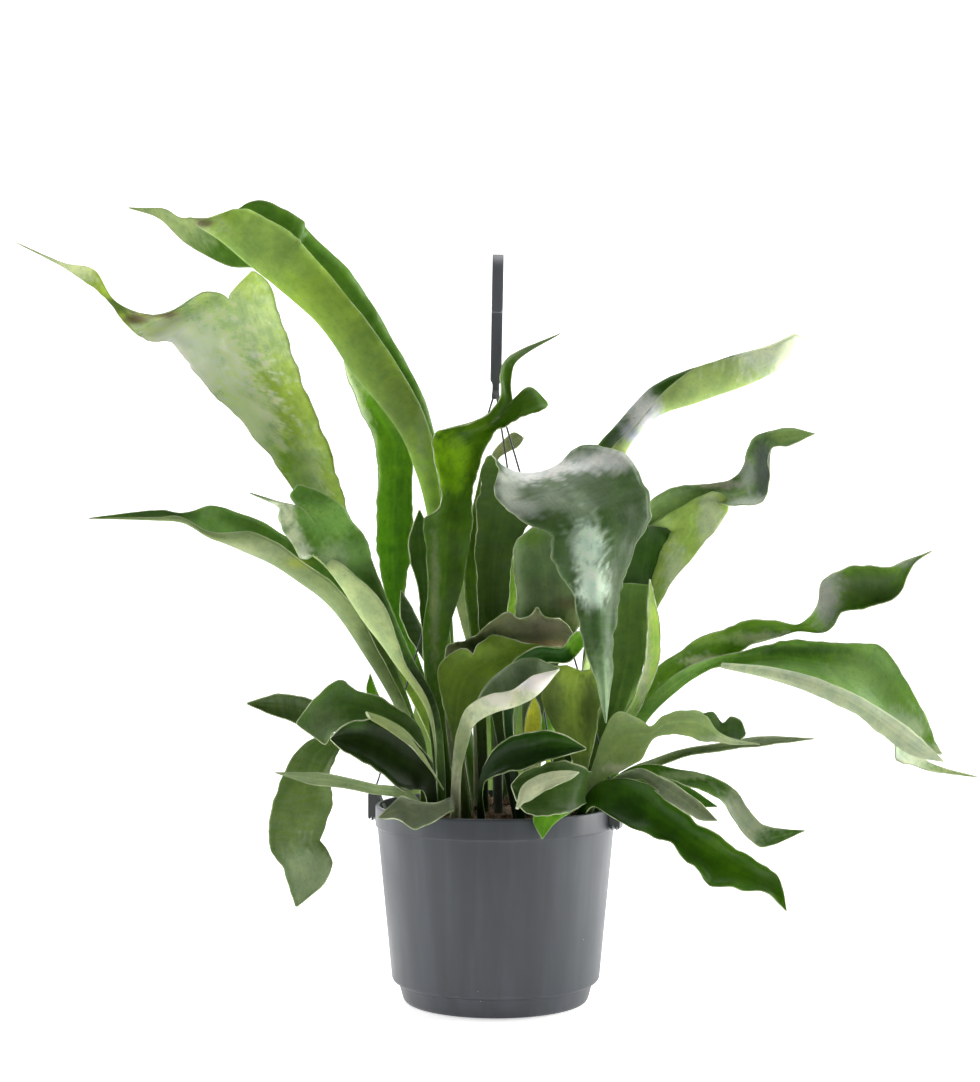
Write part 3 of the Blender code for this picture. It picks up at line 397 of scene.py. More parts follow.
# %% The rim of a blade
rim_skin, rim, rim_place = new_material("frond_margin")
rim_grain = noise_on(rim_skin, rim_place, 90.0, detail=6.0)
rim_colour = mix_colours(rim_skin, remap(rim_skin, rim_grain, 0.35, 0.65),
                         (0.20, 0.28, 0.09, 1.0), (0.56, 0.62, 0.40, 1.0))
rim_skin.node_tree.links.new(rim_colour, rim.inputs["Base Color"])
rim.inputs["Roughness"].default_value = 0.6
print("rim:", rim_skin.name)

# %% [markdown]
# ## The shape of a frond
# Each frond is drawn as a few sections across it, from its stipe to its tip. A section has two
# margins and the midrib between them, as they look on a front elevation, and their depths. One
# smooth curve carries each of the three from section to section, and an arch through the three
# gives the blade between them. The mesh is a grid whose rows and columns are laid on those
# curves, so it needs no faces of its own.

# %% Curves through the sections
COLUMNS = 24             # across a whole blade; a lobe of a fork gets half of them
ROW_LENGTH = 2.0         # spacing of the rows
CROWN_TOP = 131.0
STIPE_SINK = 4.0         # how deep a stipe's foot goes into its crown
STIPE_WIDTH = 7.0
SHORTEST_RUN = 2.0


def from_elevation(x, z, depth):
    """The point at a depth that the eye sees at (x, z) on the front elevation, in metres."""
    on_plane = Vector((x, 0.0, z)) * MM
    return EYE + (on_plane - EYE) * ((depth * MM - EYE.y) / -EYE.y)


def section(row):
    first, midrib, second, depths = row
    return [from_elevation(x, z, d) for (x, z), d in zip((first, midrib, second), depths)]


def foot_section(x, y, turn):
    """The foot of the stipe, sunk into its crown."""
    half = heading(turn) * (STIPE_WIDTH / 2 * MM)
    middle_of_foot = Vector((x, y, CROWN_TOP - STIPE_SINK)) * MM
    return [middle_of_foot - half, middle_of_foot, middle_of_foot + half]


def tip_section(tip, before, share=0.05):
    point = from_elevation(*tip)
    return [point + (edge - before[1]) * share for edge in before]


def across(points, v):
    """A point on the arch through a margin, the midrib and the other margin."""
    first, midrib, second = points
    return (first * ((1 - v) * (1 - 2 * v)) + midrib * (4 * v * (1 - v))
            + second * (v * (2 * v - 1)))


def half_section(points, start):
    return [across(points, start + share) for share in (0.0, 0.25, 0.5)]


def between(sections, i, slopes, run, t):
    """The three points at a share t of the way from section i to the next one."""
    a, b = 2 * t**3 - 3 * t**2 + 1, t**3 - 2 * t**2 + t
    c, d = 3 * t**2 - 2 * t**3, t**3 - t**2
    return [sections[i][k] * a + slopes[i][k] * (b * run)
            + sections[i + 1][k] * c + slopes[i + 1][k] * (d * run) for k in range(3)]


def spread(sections, lead=0):
    """Rows about ROW_LENGTH apart on smooth curves through the sections, each with its
    distance along the midrib. Rows start at the section with number `lead`."""
    stations = [0.0]
    for a, b in zip(sections, sections[1:]):
        stations.append(stations[-1] + max((b[1] - a[1]).length, SHORTEST_RUN * MM))
    slopes = []
    for i in range(len(sections)):
        before, after = max(i - 1, 0), min(i + 1, len(sections) - 1)
        run = stations[after] - stations[before]
        slopes.append([(sections[after][k] - sections[before][k]) / run for k in range(3)])
    count = max(round((stations[-1] - stations[lead]) / (ROW_LENGTH * MM)), 4)
    rows = []
    for step in range(count + 1):
        s = stations[lead] + (stations[-1] - stations[lead]) * step / count
        i = max(j for j in range(lead, len(sections) - 1) if stations[j] <= s + 1e-9)
        run = stations[i + 1] - stations[i]
        t = min((s - stations[i]) / run, 1.0)
        rows.append((s - stations[lead], between(sections, i, slopes, run, t)))
    return rows


print("rows every", ROW_LENGTH, "mm,", COLUMNS, "columns")

# %% [markdown]
# The points of the grid remember where they are on the blade, because buckling, paint and
# thickness all depend on that. A forked frond is three grids: the blade up to the fork, and one
# for each lobe, which carries on from half of the last section.

# %% The grid of a blade
def blade_grid(bm, sections, columns, lead=0, start=0.0, side=None):
    """Lays a grid on the sections. Its points keep their place along (s) and across (v)."""
    rows = spread(sections, lead)
    count = len(rows) - 1
    along, sideways, width = (bm.verts.layers.float[key] for key in ("s", "v", "w"))
    outward = bm.verts.layers.float_vector["outward"]
    made = bmesh.ops.create_grid(bm, x_segments=columns, y_segments=count, size=0.5)
    for vert in made["verts"]:
        v = vert.co.x + 0.5
        s, points = rows[round((vert.co.y + 0.5) * count)]
        vert.co = across(points, v)
        vert[along] = start + s
        vert[sideways] = v if side is None else side * 0.5 + v * 0.5
        vert[width] = (points[2] - points[0]).length * (1.0 if side is None else 2.0)
        vert[outward] = (points[2] - points[0]).normalized() * (vert[sideways] * 2 - 1)
    return start + rows[-1][0]


def add_layers(bm):
    """The values that each point of a blade carries."""
    for key in ("s", "v", "w", "to_margin", "down"):
        bm.verts.layers.float.new(key)
    bm.verts.layers.float_vector.new("outward")
    for key in ("upper_tint", "under_tint"):
        bm.verts.layers.float_color.new(key)
    bm.verts.layers.deform.verify()
    bm.loops.layers.uv.new("blade")


def frond_bmesh(base, sections, tip, lobes):
    """The middle sheet of a frond, as a bmesh with its layers, and its length."""
    bm = bmesh.new()
    add_layers(bm)
    places = [foot_section(*base)] + [section(row) for row in sections]
    if not lobes:
        places.append(tip_section(tip, places[-1]))
        length = blade_grid(bm, places, COLUMNS)
    else:
        start = blade_grid(bm, places, COLUMNS)
        length = start
        for side, (lobe_sections, lobe_tip) in enumerate(lobes):
            halves = [half_section(points, 0.5 * side) for points in places[-2:]]
            rows = halves + [section(row) for row in lobe_sections]
            rows.append(tip_section(lobe_tip, rows[-1], 0.1))
            length = max(length, blade_grid(bm, rows, COLUMNS // 2, 1, start, side))
    bmesh.ops.remove_doubles(bm, verts=bm.verts, dist=0.02 * MM)
    return bm, length


print("a blade is one grid, or three where it forks")

# %% [markdown]
# A sheet that follows its outline exactly still looks like cut card. A real blade buckles
# slowly along its length, its margin is wavy, curled and a little ragged, and all of that fades
# out towards the stiff stipe. Noise gives the irregular part and a sine the waves. Every point
# moves along its normal, and the points at the margin also move outward.

# %% Buckling and margins
BUCKLE = 2.2 * MM
CRINKLE = 0.9 * MM
CURL = 1.6 * MM
FREE_WIDTH = 26 * MM     # a narrower blade is stiffer and moves less


def smooth_step(low, high, value):
    t = min(max((value - low) / (high - low), 0.0), 1.0)
    return t * t * (3 - 2 * t)


def buckle_sheet(bm, length, look, seed):
    layers = bm.verts.layers
    along, sideways, width = (layers.float[key] for key in ("s", "v", "w"))
    outward = layers.float_vector["outward"]
    for vert in bm.verts:
        s, v = vert[along], vert[sideways]
        half = v > 0.5
        off_rib = abs(2 * v - 1)
        freed = smooth_step(0.18, 0.55, s / length) * min(vert[width] / FREE_WIDTH, 1.0)
        wave = math.sin(s / (look["wave"] * MM) * 2 * math.pi + seed.x + 2.1 * half)
        ruffle = look["ruffle"] * MM * wave * off_rib ** 3 * freed
        buckle = noise.noise(vert.co * 28.0 + seed) * BUCKLE * freed
        crinkle = noise.noise(vert.co * 85.0 + seed) * CRINKLE * freed * off_rib
        channel = look["channel"] * vert[width] * off_rib ** 2 * freed
        curl = CURL * smooth_step(0.72, 1.0, off_rib) * freed
        vert.co += vert.normal * (ruffle + buckle + crinkle + channel + curl)
        ragged = noise.noise(Vector((s * 60.0, 7.0 * half, seed.x)))
        ragged += 0.6 * noise.noise(Vector((s * 170.0, 5.0 * half, seed.x)))
        vert.co += vert[outward] * (ragged * look["ragged"] * MM * off_rib ** 3 * freed)


print("a blade buckles by", BUCKLE / MM, "mm and its margin curls by", CURL / MM, "mm")

# %% [markdown]
# Colour could come from noise alone, but then every frond would look alike. So each point of a
# blade carries a tint for either side: the frond's own colour, a soft cloud, a lighter rib,
# painted shade at the foot where the crowded stipes shade one another, a painted glow in the
# upper part of the blade as of light coming through it, and soft spots of paint, most of them
# painted highlights, sheen and shade.

# %% Paint
CROWN_MIDDLE = Vector((5.0, 0.0, CROWN_TOP)) * MM
SHADED, OPEN = 15 * MM, 120 * MM         # distances from the crowns


def margin_distances(bm):
    """How far each point is from the blade's free margin, in metres."""
    along = bm.verts.layers.float["s"]
    edge_verts = {vert for edge in bm.edges if edge.is_boundary for vert in edge.verts}
    free = [vert for vert in edge_verts if vert[along] > 2 * MM]
    tree = KDTree(len(free))
    for i, vert in enumerate(free):
        tree.insert(vert.co, i)
    tree.balance()
    return {vert: tree.find(vert.co)[2] for vert in bm.verts}


def on_elevation(point):
    """Where the eye sees a point on the front elevation, in millimetres."""
    reach = -EYE.y / (point.y - EYE.y)
    return (EYE.x + (point.x - EYE.x) * reach) / MM, (EYE.z + (point.z - EYE.z) * reach) / MM


def painted(colour, seen, spots, side):
    """The colour with soft, streaky and flecked spots of paint laid over it, most of them painted
    light and shade.
    """
    streak = noise.noise(Vector((seen[0] + seen[1], (seen[0] - seen[1]) * 0.3, 0.0)) * 0.11)
    fleck = noise.noise(Vector((seen[0], seen[1] * 0.45, 0.0)) * 0.5)
    for which, x, z, reach_x, reach_z, tone, strength in spots:
        if which in (side, "both"):
            away = math.hypot((seen[0] - x) / reach_x, (seen[1] - z) / reach_z)
            away *= 1.0 + 0.35 * streak + 0.45 * fleck
            colour = colour.lerp(Vector(tone), strength * smooth_step(1.3, 0.3, away))
    return colour


def paint_sheet(bm, length, look, seed, distances, bright_base):
    """Both tints of every point, with their painted shade, painted glow and spots of paint, how
    downy it is and how near it is to the margin.
    """
    layers = bm.verts.layers
    along, sideways, to_margin, down = (layers.float[key]
                                        for key in ("s", "v", "to_margin", "down"))
    tints = [(layers.float_color[side + "_tint"], Vector(look[side]), side)
             for side in ("upper", "under")]
    for vert in bm.verts:
        share = vert[along] / length
        off_rib = abs(2 * vert[sideways] - 1)
        # a stipe has no pale margin
        vert[to_margin] = distances[vert] + 2 * MM * smooth_step(0.45, 0.15, share)
        cloud = noise.noise(vert.co * 22.0 + seed)
        vert[down] = look["down"] * (0.75 + 0.5 * cloud) * smooth_step(0.05, 0.35, share)
        shade = 1.0 + 0.18 * cloud
        # painted shade on the stipes near the crowns, where they crowd and shade one another
        if not bright_base:
            from_crown = (vert.co - CROWN_MIDDLE).length
            shade *= 0.15 + 0.85 * smooth_step(SHADED, OPEN, from_crown)
        # a painted glow in the upper part of the blade, as of light coming through it
        lit = look["lit"] * smooth_step(0.35, 0.8, share)
        rib = smooth_step(0.14, 0.0, off_rib) * 0.14 * smooth_step(0.1, 0.4, share)
        seen = on_elevation(vert.co)
        for layer, tone, side in tints:
            colour = tone * shade
            colour = colour.lerp(Vector((colour.x * 1.9, colour.y * 1.55, colour.z * 0.9)), lit)
            colour = colour.lerp(colour * 2.2, rib)
            vert[layer] = (*painted(colour, seen, look["paint"], side), 1.0)


print("stipes are shaded up to", OPEN / MM, "mm from the crowns")

# %% [markdown]
# A blade is thin at its margin and swells to a rib that grows stout towards the stipe. A vertex
# group holds that as a number from 0 to 1 and Solidify makes the thickness of it, so that the
# grid itself stays a single sheet until the end.

# %% Thickness
THICKEST = 3.4           # the stipe, through its middle
THINNEST = 0.75          # the blade at its margin


def swell_rib(bm, length):
    """The share of the full thickness at every point."""
    along, sideways = (bm.verts.layers.float[key] for key in ("s", "v"))
    thickness = bm.verts.layers.deform.active
    for vert in bm.verts:
        off_rib = abs(2 * vert[sideways] - 1)
        stipe = 1.0 - smooth_step(0.02, 0.42, vert[along] / length)
        rib_swell = smooth_step(0.30, 0.0, off_rib) * (0.25 + 0.75 * stipe)
        rounded = math.sqrt(max(1.0 - off_rib ** 2, 0.0)) * stipe
        vert[thickness][0] = min(max(rib_swell * 0.55, rounded, 0.0), 1.0)


def map_blade(bm):
    """A map of the blade: x runs across it from the midrib and y along it, in metres."""
    along, sideways, width = (bm.verts.layers.float[key] for key in ("s", "v", "w"))
    uv = bm.loops.layers.uv.active
    for face in bm.faces:
        for loop in face.loops:
            vert = loop.vert
            loop[uv].uv = ((vert[sideways] - 0.5) * vert[width], vert[along])


def finish_sheet(name, bm, length, look, bright_base=False):
    """The detail of a sheet's surface, its paint, and its thickness."""
    seed = Vector((sum(map(ord, name)) % 97 * 0.37, 0.0, 0.0))
    bm.normal_update()
    distances = margin_distances(bm)
    buckle_sheet(bm, length, look, seed)
    paint_sheet(bm, length, look, seed, distances, bright_base)
    swell_rib(bm, length)
    map_blade(bm)
    frond = new_object(name, bm)
    frond.vertex_groups.new(name="thickness")
    solid = thicken(frond, "Thickness", THICKEST)
    solid.vertex_group = "thickness"
    solid.thickness_vertex_group = THINNEST / THICKEST
    solid.material_offset = 1
    solid.material_offset_rim = 2
    return frond


def make_frond(node, shape, look):
    bm, length = frond_bmesh(*shape)
    frond = finish_sheet(node + "_blade", bm, length, look)
    top_skin = downy_skin if look["down"] > 0.45 else satin_skin
    return stands_for(frond, node, top_skin, felted_skin, rim_skin)


print("a blade is", THINNEST, "to", THICKEST, "mm thick")

# %% [markdown]
# ## The fronds, one by one
# Every frond is a few rows of millimetres. They are the sections that the solids were built on,
# some of them drawn again more finely, so that a fine blade lies in the space of its solid or
# within a few millimetres of it. Only one dark frond on the right stands farther forward. The
# upper side is on the side of the midrib that (second margin - first margin) x (towards the
# tip) points to.

# %% Sections of the fronds at the upper left
FRONDS = {}


def frond_shape(node, base, sections, tip, lobes=()):
    """Keeps the shape of a frond under the name of its node.

    base      x, y on the crown and the turn of the stipe's flat side, in degrees
    sections  rows of (first margin, midrib, second margin, their three depths)
    tip       (x, z, depth), or None where the blade forks
    lobes     two (sections, tip), which carry on from the first and the second half
    """
    FRONDS[node] = (base, sections, tip, lobes)


frond_shape("frond_upper_left", (-16, 18, 90), [
    ((-30, 230), (-34, 228), (-28, 232), (14, 18, 22)),
    ((-36, 310), (-42, 305), (-34, 315), (14, 20, 28)),
    ((-47, 400), (-61, 387), (-46, 408), (6, 18, 30)),
    ((-79, 460), (-100, 443), (-76, 470), (0, 18, 36)),
    ((-109, 499), (-128, 481), (-103, 511), (-6, 14, 36)),
    ((-139, 535), (-156, 505), (-136, 544), (-10, 10, 34)),
], None, [
    ([((-168, 555), (-178, 538), (-172, 518), (-12, -8, 2)),
      ((-188, 559), (-195, 548), (-196, 537), (-14, -11, -4))], (-212, 549, -10)),
    ([((-169, 517), (-170, 540), (-165, 560), (12, 22, 30)),
      ((-190, 519), (-194, 534), (-196, 551), (14, 20, 24)),
      ((-218, 534), (-221, 543), (-222, 551), (14, 17, 20)),
      ((-238, 552), (-239, 556), (-240, 558), (14, 15, 16))], (-260, 560, 14)),
])
frond_shape("frond_pale_fan", (-25, 30, 180), [
    ((-44, 200), (-48, 198), (-52, 196), (31, 32, 31)),
    ((-80, 275), (-86, 272), (-92, 268), (36, 40, 36)),
    ((-104, 340), (-114, 335), (-124, 330), (38, 46, 38)),
    ((-120, 388), (-140, 384), (-158, 386), (36, 50, 38)),
    ((-142, 445), (-170, 436), (-202, 434), (30, 50, 34)),
    ((-158, 486), (-189, 495), (-229, 466), (28, 44, 30)),
], None, [
    ([((-161, 503), (-173, 505), (-185, 503), (26, 34, 40))], (-172, 515, 28)),
    ([((-206, 500), (-225, 487), (-243, 468), (40, 42, 28)),
      ((-222, 490), (-238, 482), (-253, 473), (36, 38, 26)),
      ((-244, 484), (-253, 481), (-262, 479), (30, 30, 24)),
      ((-269, 494), (-270, 492), (-271, 490), (24, 24, 22)),
      ((-284, 516), (-284, 510), (-285, 504), (20, 20, 18)),
      ((-306, 521), (-307, 520), (-308, 519), (14, 14, 13))], (-341, 536, 6)),
])
frond_shape("frond_mid_left", (-21, 40, 0), [
    ((-54, 215), (-50, 216), (-46, 217), (46, 46, 46)),
    ((-75, 272), (-69, 273), (-63, 274), (50, 52, 50)),
    ((-86, 312), (-73, 310), (-59, 310), (52, 58, 52)),
    ((-87, 350), (-72, 352), (-56, 352), (52, 60, 54)),
    ((-87, 388), (-72, 392), (-58, 395), (52, 60, 54)),
    ((-96, 408), (-81, 410), (-66, 411), (52, 59, 54)),
    ((-105, 432), (-93, 431), (-80, 428), (52, 57, 54)),
], (-107, 452, 54))
frond_shape("frond_left_folded", (-47, -9, 90), [
    ((-57, 190), (-62, 188), (-56, 193), (-13, -9, -5)),
    ((-80, 240), (-90, 240), (-76, 248), (-20, -10, 0)),
    ((-105, 283), (-118, 279), (-98, 290), (-26, -10, 4)),
    ((-143, 313), (-152, 304), (-138, 320), (-30, -12, 8)),
    ((-172, 330), (-182, 319), (-170, 339), (-30, -14, 8)),
    ((-200, 330), (-202, 328), (-197, 348), (-22, -16, 2)),
    ((-223, 341), (-221, 337), (-221, 344), (-18, -16, -12)),
    ((-240, 341), (-240, 339), (-238, 346), (-18, -16, -12)),
], (-288, 340, -20))
frond_shape("frond_front_left", (-37, -27, 0), [
    ((-45, 202), (-46, 198), (-40, 202), (-37, -33, -30)),
    ((-66, 240), (-75, 243), (-60, 244), (-44, -36, -32)),
    ((-80, 277), (-97, 273), (-74, 277), (-54, -42, -36)),
    ((-110, 304), (-112, 295), (-85, 303), (-62, -48, -38)),
    ((-136, 318), (-120, 314), (-93, 319), (-56, -56, -42)),
    ((-148, 339), (-128, 336), (-107, 338), (-50, -58, -46)),
], None, [
    ([((-152, 349), (-145, 348), (-138, 348), (-48, -52, -54)),
      ((-157, 351), (-155, 351), (-153, 352), (-48, -50, -50))], (-174, 358, -48)),
    ([((-146, 355), (-134, 352), (-118, 351), (-50, -52, -47))], (-139, 364, -50)),
])
print(len(FRONDS), "fronds so far")


# %% Sections of the tall fronds in the centre
frond_shape("frond_centre_tall", (-30, -6, 0), [
    ((-46, 205), (-41, 205), (-36, 205), (-6, -7, -6)),
    ((-51, 255), (-43, 255), (-34, 255), (-6, -9, -6)),
    ((-46, 295), (-36, 295), (-25, 295), (-5, -10, -6)),
    ((-47, 338), (-33, 336), (-18, 336), (-4, -10, -8)),
    ((-40, 356), (-27, 358), (-14, 358), (-14, -8, -10)),
    ((-49, 386), (-28, 380), (-7, 378), (-20, -6, -14)),
    ((-44, 406), (-22, 398), (2, 397), (-22, -8, -18)),
    ((-14, 412), (-3, 408), (8, 403), (-22, -12, -16)),
], None, [
    ([((0, 426), (6, 424), (11, 420), (-18, -14, -14)),
      ((1, 442), (6, 440), (11, 436), (-16, -14, -14)),
      ((10, 455), (13, 453), (15, 451), (-14, -14, -14))], (46, 471, -12)),
    ([((14, 426), (16, 419), (19, 411), (-14, -16, -18)),
      ((25, 433), (28, 424), (31, 415), (-12, -18, -20))], (37, 421, -18)),
])
frond_shape("frond_centre_drooping", (16, -14, 180), [
    ((7, 225), (0, 225), (-7, 225), (-8, -7, -8)),
    ((9, 285), (-2, 285), (-13, 285), (-10, -6, -10)),
    ((13, 322), (1, 322), (-12, 322), (-16, -10, -16)),
    ((26, 346), (8, 352), (-12, 354), (-26, -20, -26)),
    ((38, 364), (14, 371), (-11, 372), (-30, -28, -34)),
    ((52, 382), (24, 373), (-3, 381), (-32, -42, -46)),
    ((70, 388), (38, 368), (2, 369), (-36, -58, -62)),
    ((92, 378), (54, 360), (2, 351), (-46, -72, -74)),
    ((104, 360), (66, 348), (18, 340), (-56, -82, -80)),
    ((105, 344), (72, 335), (38, 330), (-64, -88, -84)),
    ((98, 322), (71, 315), (43, 309), (-72, -94, -88)),
    ((90, 303), (72, 300), (50, 297), (-78, -96, -90)),
    ((85, 285), (72, 283), (58, 283), (-84, -98, -93)),
    ((83, 262), (73, 262), (61, 262), (-90, -100, -96)),
    ((81, 228), (76, 228), (71, 230), (-96, -102, -99)),
], (78, 195, -102))
frond_shape("frond_behind_drooping", (24, -4, 0), [
    ((18, 215), (26, 215), (36, 215), (-12, -12, -12)),
    ((13, 256), (34, 253), (54, 253), (-20, -17, -20)),
    ((12, 272), (36, 270), (62, 268), (-21, -17, -20)),
    ((12, 290), (36, 290), (62, 290), (-22, -18, -22)),
    ((12, 304), (34, 304), (56, 303), (-22, -18, -22)),
    ((14, 326), (30, 328), (44, 326), (-22, -19, -22)),
], (31, 337, -21))
print(len(FRONDS), "fronds so far")


# %% Sections of the fronds on the right
frond_shape("frond_upper_right", (45, 10, -90), [
    ((66, 225), (62, 222), (60, 226), (24, 20, 16)),
    ((76, 310), (80, 306), (78, 308), (34, 28, 22)),
    ((70, 386), (91, 384), (81, 386), (42, 34, 26)),
    ((90, 411), (103, 403), (98, 404), (46, 38, 30)),
    ((112, 434), (119, 415), (116, 425), (50, 40, 30)),
    ((143, 447), (143, 423), (139, 445), (52, 40, 28)),
    ((172, 456), (170, 432), (169, 454), (50, 38, 26)),
    ((197, 463), (195, 443), (194, 461), (48, 36, 26)),
    ((211, 470), (209, 455), (211, 469), (44, 34, 28)),
], (218, 467, 36))
frond_shape("frond_right_twisted", (52, 4, 0), [
    ((72, 215), (76, 213), (80, 211), (8, 8, 8)),
    ((92, 300), (97, 297), (102, 294), (14, 15, 14)),
    ((108, 352), (112, 344), (116, 336), (20, 22, 20)),
    ((128, 363), (131, 354), (135, 346), (22, 24, 22)),
    ((151, 365), (151, 359), (152, 351), (22, 22, 16)),
    ((168, 367), (169, 357), (170, 347), (24, 16, 6)),
    ((180, 378), (184, 364), (189, 349), (30, 14, 2)),
    ((184, 394), (190, 382), (196, 368), (30, 18, 8)),
    ((193, 401), (195, 395), (196, 388), (22, 20, 16)),
    ((209, 404), (208, 397), (207, 391), (18, 18, 18)),
], (226, 400, 16))
frond_shape("frond_right_pale", (49, -3, 180), [
    ((84, 205), (80, 207), (76, 209), (2, 2, 2)),
    ((114, 276), (110, 278), (106, 280), (4, 6, 6)),
    ((126, 297), (119, 300), (112, 302), (4, 8, 8)),
    ((139, 315), (130, 318), (119, 320), (4, 10, 10)),
    ((150, 331), (139, 333), (124, 332), (4, 12, 12)),
    ((156, 341), (138, 341), (106, 333), (6, 12, 12)),
    ((160, 349), (146, 347), (116, 342), (8, 12, 14)),
    ((161, 356), (151, 354), (138, 351), (10, 13, 14)),
], (153, 359, 12))
frond_shape("frond_right_shaded", (40, 6, 0), [
    ((64, 225), (68, 225), (72, 225), (15, 15, 15)),
    ((84, 280), (98, 279), (112, 281), (7, 9, 16)),
    ((88, 308), (104, 308), (121, 310), (6, 8, 16)),
    ((93, 328), (108, 329), (121, 330), (6, 9, 20)),
], (108, 335, 10))
frond_shape("frond_right_upright", (54, -8, 180), [
    ((92, 200), (83, 202), (74, 204), (-5, -5, -5)),
    ((104, 238), (93, 240), (82, 242), (-6, -2, -6)),
    ((107, 268), (95, 269), (82, 270), (-6, -2, -6)),
    ((109, 287), (96, 288), (83, 289), (-6, -2, -6)),
    ((109, 291), (97, 292), (85, 292), (-6, -3, -6)),
], (97, 294, -3))
frond_shape("frond_narrow_rolled", (61, -19, 0), [
    ((76, 178), (79, 177), (82, 176), (-19, -19, -19)),
    ((94, 208), (98, 206), (102, 204), (-22, -20, -22)),
    ((103, 232), (108, 231), (114, 230), (-26, -20, -24)),
    ((106, 254), (112, 253), (118, 251), (-28, -21, -26)),
    ((107, 276), (110, 275), (115, 273), (-28, -23, -26)),
], (109, 297, -26))
frond_shape("frond_right_waved", (61, -4, 0), [
    ((84, 190), (87, 188), (90, 186), (-9, -9, -9)),
    ((109, 229), (114, 221), (119, 211), (-12, -12, -12)),
    ((132, 248), (137, 240), (142, 230), (-12, -10, -12)),
    ((153, 262), (158, 250), (163, 237), (-14, -8, -14)),
    ((180, 270), (182, 260), (184, 248), (-16, -10, -16)),
    ((199, 268), (200, 262), (201, 256), (-16, -14, -14)),
    ((214, 265), (214, 263), (214, 260), (-14, -14, -14)),
    ((224, 274), (228, 267), (232, 260), (-18, -16, -14)),
    ((230, 297), (238, 284), (246, 272), (-24, -16, -16)),
    ((250, 309), (255, 291), (260, 273), (-28, -18, -22)),
    ((270, 308), (274, 292), (278, 277), (-30, -22, -26)),
    ((280, 308), (284, 296), (288, 285), (-32, -26, -30)),
    ((288, 310), (290, 304), (292, 298), (-32, -29, -31)),
    ((295, 312), (296, 310), (297, 308), (-32, -31, -32)),
], (309, 317, -33))
frond_shape("frond_far_right", (67, -12, 0), [
    ((97, 197), (101, 195), (105, 193), (-18, -18, -18)),
    ((122, 226), (126, 222), (129, 218), (-24, -24, -24)),
    ((152, 241), (154, 238), (156, 234), (-26, -24, -26)),
    ((178, 248), (177, 240), (177, 231), (-26, -24, -32)),
    ((205, 256), (205, 242), (205, 223), (-24, -26, -44)),
    ((240, 252), (237, 235), (234, 214), (-26, -32, -52)),
    ((272, 249), (262, 227), (260, 202), (-32, -38, -56)),
    ((289, 225), (281, 204), (275, 187), (-38, -46, -58)),
    ((303, 197), (292, 184), (281, 168), (-44, -52, -58)),
], None, [
    ([((309, 184), (304, 180), (299, 177), (-48, -50, -54))], (316, 173, -52)),
    ([((302, 171), (297, 167), (291, 164), (-54, -56, -58)),
      ((316, 164), (315, 161), (314, 159), (-58, -58, -60))], (341, 157, -60)),
])
print(len(FRONDS), "fronds so far")


# %% Sections of the low fronds on the right
frond_shape("frond_right_ruffled", (57, -31, 180), [
    ((77, 155), (73, 162), (70, 169), (-46, -44, -42)),
    ((91, 162), (84, 177), (77, 191), (-52, -48, -44)),
    ((99, 169), (93, 186), (86, 203), (-56, -48, -44)),
    ((106, 177), (104, 187), (101, 199), (-56, -50, -46)),
    ((112, 184), (111, 188), (109, 193), (-54, -52, -50)),
    ((121, 188), (120, 194), (119, 201), (-54, -50, -47)),
    ((136, 186), (136, 196), (136, 206), (-54, -50, -45)),
    ((147, 184), (148, 193), (148, 203), (-56, -50, -44)),
    ((157, 182), (157, 186), (158, 190), (-57, -54, -50)),
    ((168, 180), (168, 182), (169, 184), (-57, -56, -54)),
], (187, 180, -56))
frond_shape("frond_right_slim", (69, -22, 0), [
    ((87, 158), (88, 155), (89, 152), (-20, -20, -20)),
    ((112, 170), (113, 167), (114, 164), (-24, -22, -24)),
    ((137, 178), (138, 175), (139, 172), (-26, -24, -28)),
    ((162, 182), (162, 179), (162, 175), (-28, -26, -30)),
    ((186, 186), (185, 182), (185, 178), (-28, -28, -30)),
], (226, 184, -32))
frond_shape("frond_right_low", (67, -26, 0), [
    ((85, 157), (86, 154), (87, 151), (-40, -40, -40)),
    ((106, 166), (107, 161), (108, 157), (-46, -46, -46)),
    ((131, 162), (132, 156), (132, 150), (-50, -52, -56)),
    ((152, 158), (150, 151), (148, 145), (-54, -56, -62)),
    ((170, 148), (164, 143), (158, 139), (-56, -58, -64)),
    ((178, 134), (172, 131), (167, 128), (-60, -62, -64)),
    ((188, 124), (184, 118), (180, 112), (-62, -64, -66)),
    ((200, 120), (196, 114), (192, 107), (-64, -66, -68)),
], (219, 119, -70))
frond_shape("frond_right_small_green", (65, -32, 0), [
    ((76, 151), (77, 147), (78, 144), (-42, -42, -42)),
    ((88, 158), (89, 155), (90, 152), (-47, -47, -47)),
    ((112, 158), (113, 153), (114, 148), (-56, -56, -56)),
    ((136, 150), (137, 143), (137, 136), (-64, -66, -68)),
], (157, 136, -72))
frond_shape("frond_right_small_grey", (59, -37, 0), [
    ((74, 149), (75, 146), (76, 143), (-50, -50, -50)),
    ((100, 163), (101, 159), (102, 155), (-61, -61, -61)),
    ((117, 157), (115, 152), (113, 147), (-70, -71, -72)),
    ((131, 149), (128, 144), (124, 138), (-84, -85, -87)),
    ((147, 137), (145, 131), (142, 126), (-88, -90, -94)),
], (157, 126, -94))
frond_shape("frond_right_front_large", (54, -41, 0), [
    ((70, 151), (70, 144), (69, 136), (-56, -58, -62)),
    ((91, 156), (88, 142), (84, 127), (-62, -64, -73)),
    ((113, 150), (108, 134), (104, 116), (-70, -70, -80)),
    ((135, 133), (127, 121), (120, 108), (-78, -76, -86)),
    ((157, 119), (146, 107), (137, 92), (-84, -82, -92)),
    ((178, 104), (166, 93), (155, 76), (-88, -88, -98)),
    ((194, 92), (186, 84), (178, 75), (-92, -92, -98)),
    ((202, 84), (198, 78), (193, 73), (-94, -95, -98)),
], (206, 62, -99))
print(len(FRONDS), "fronds so far")


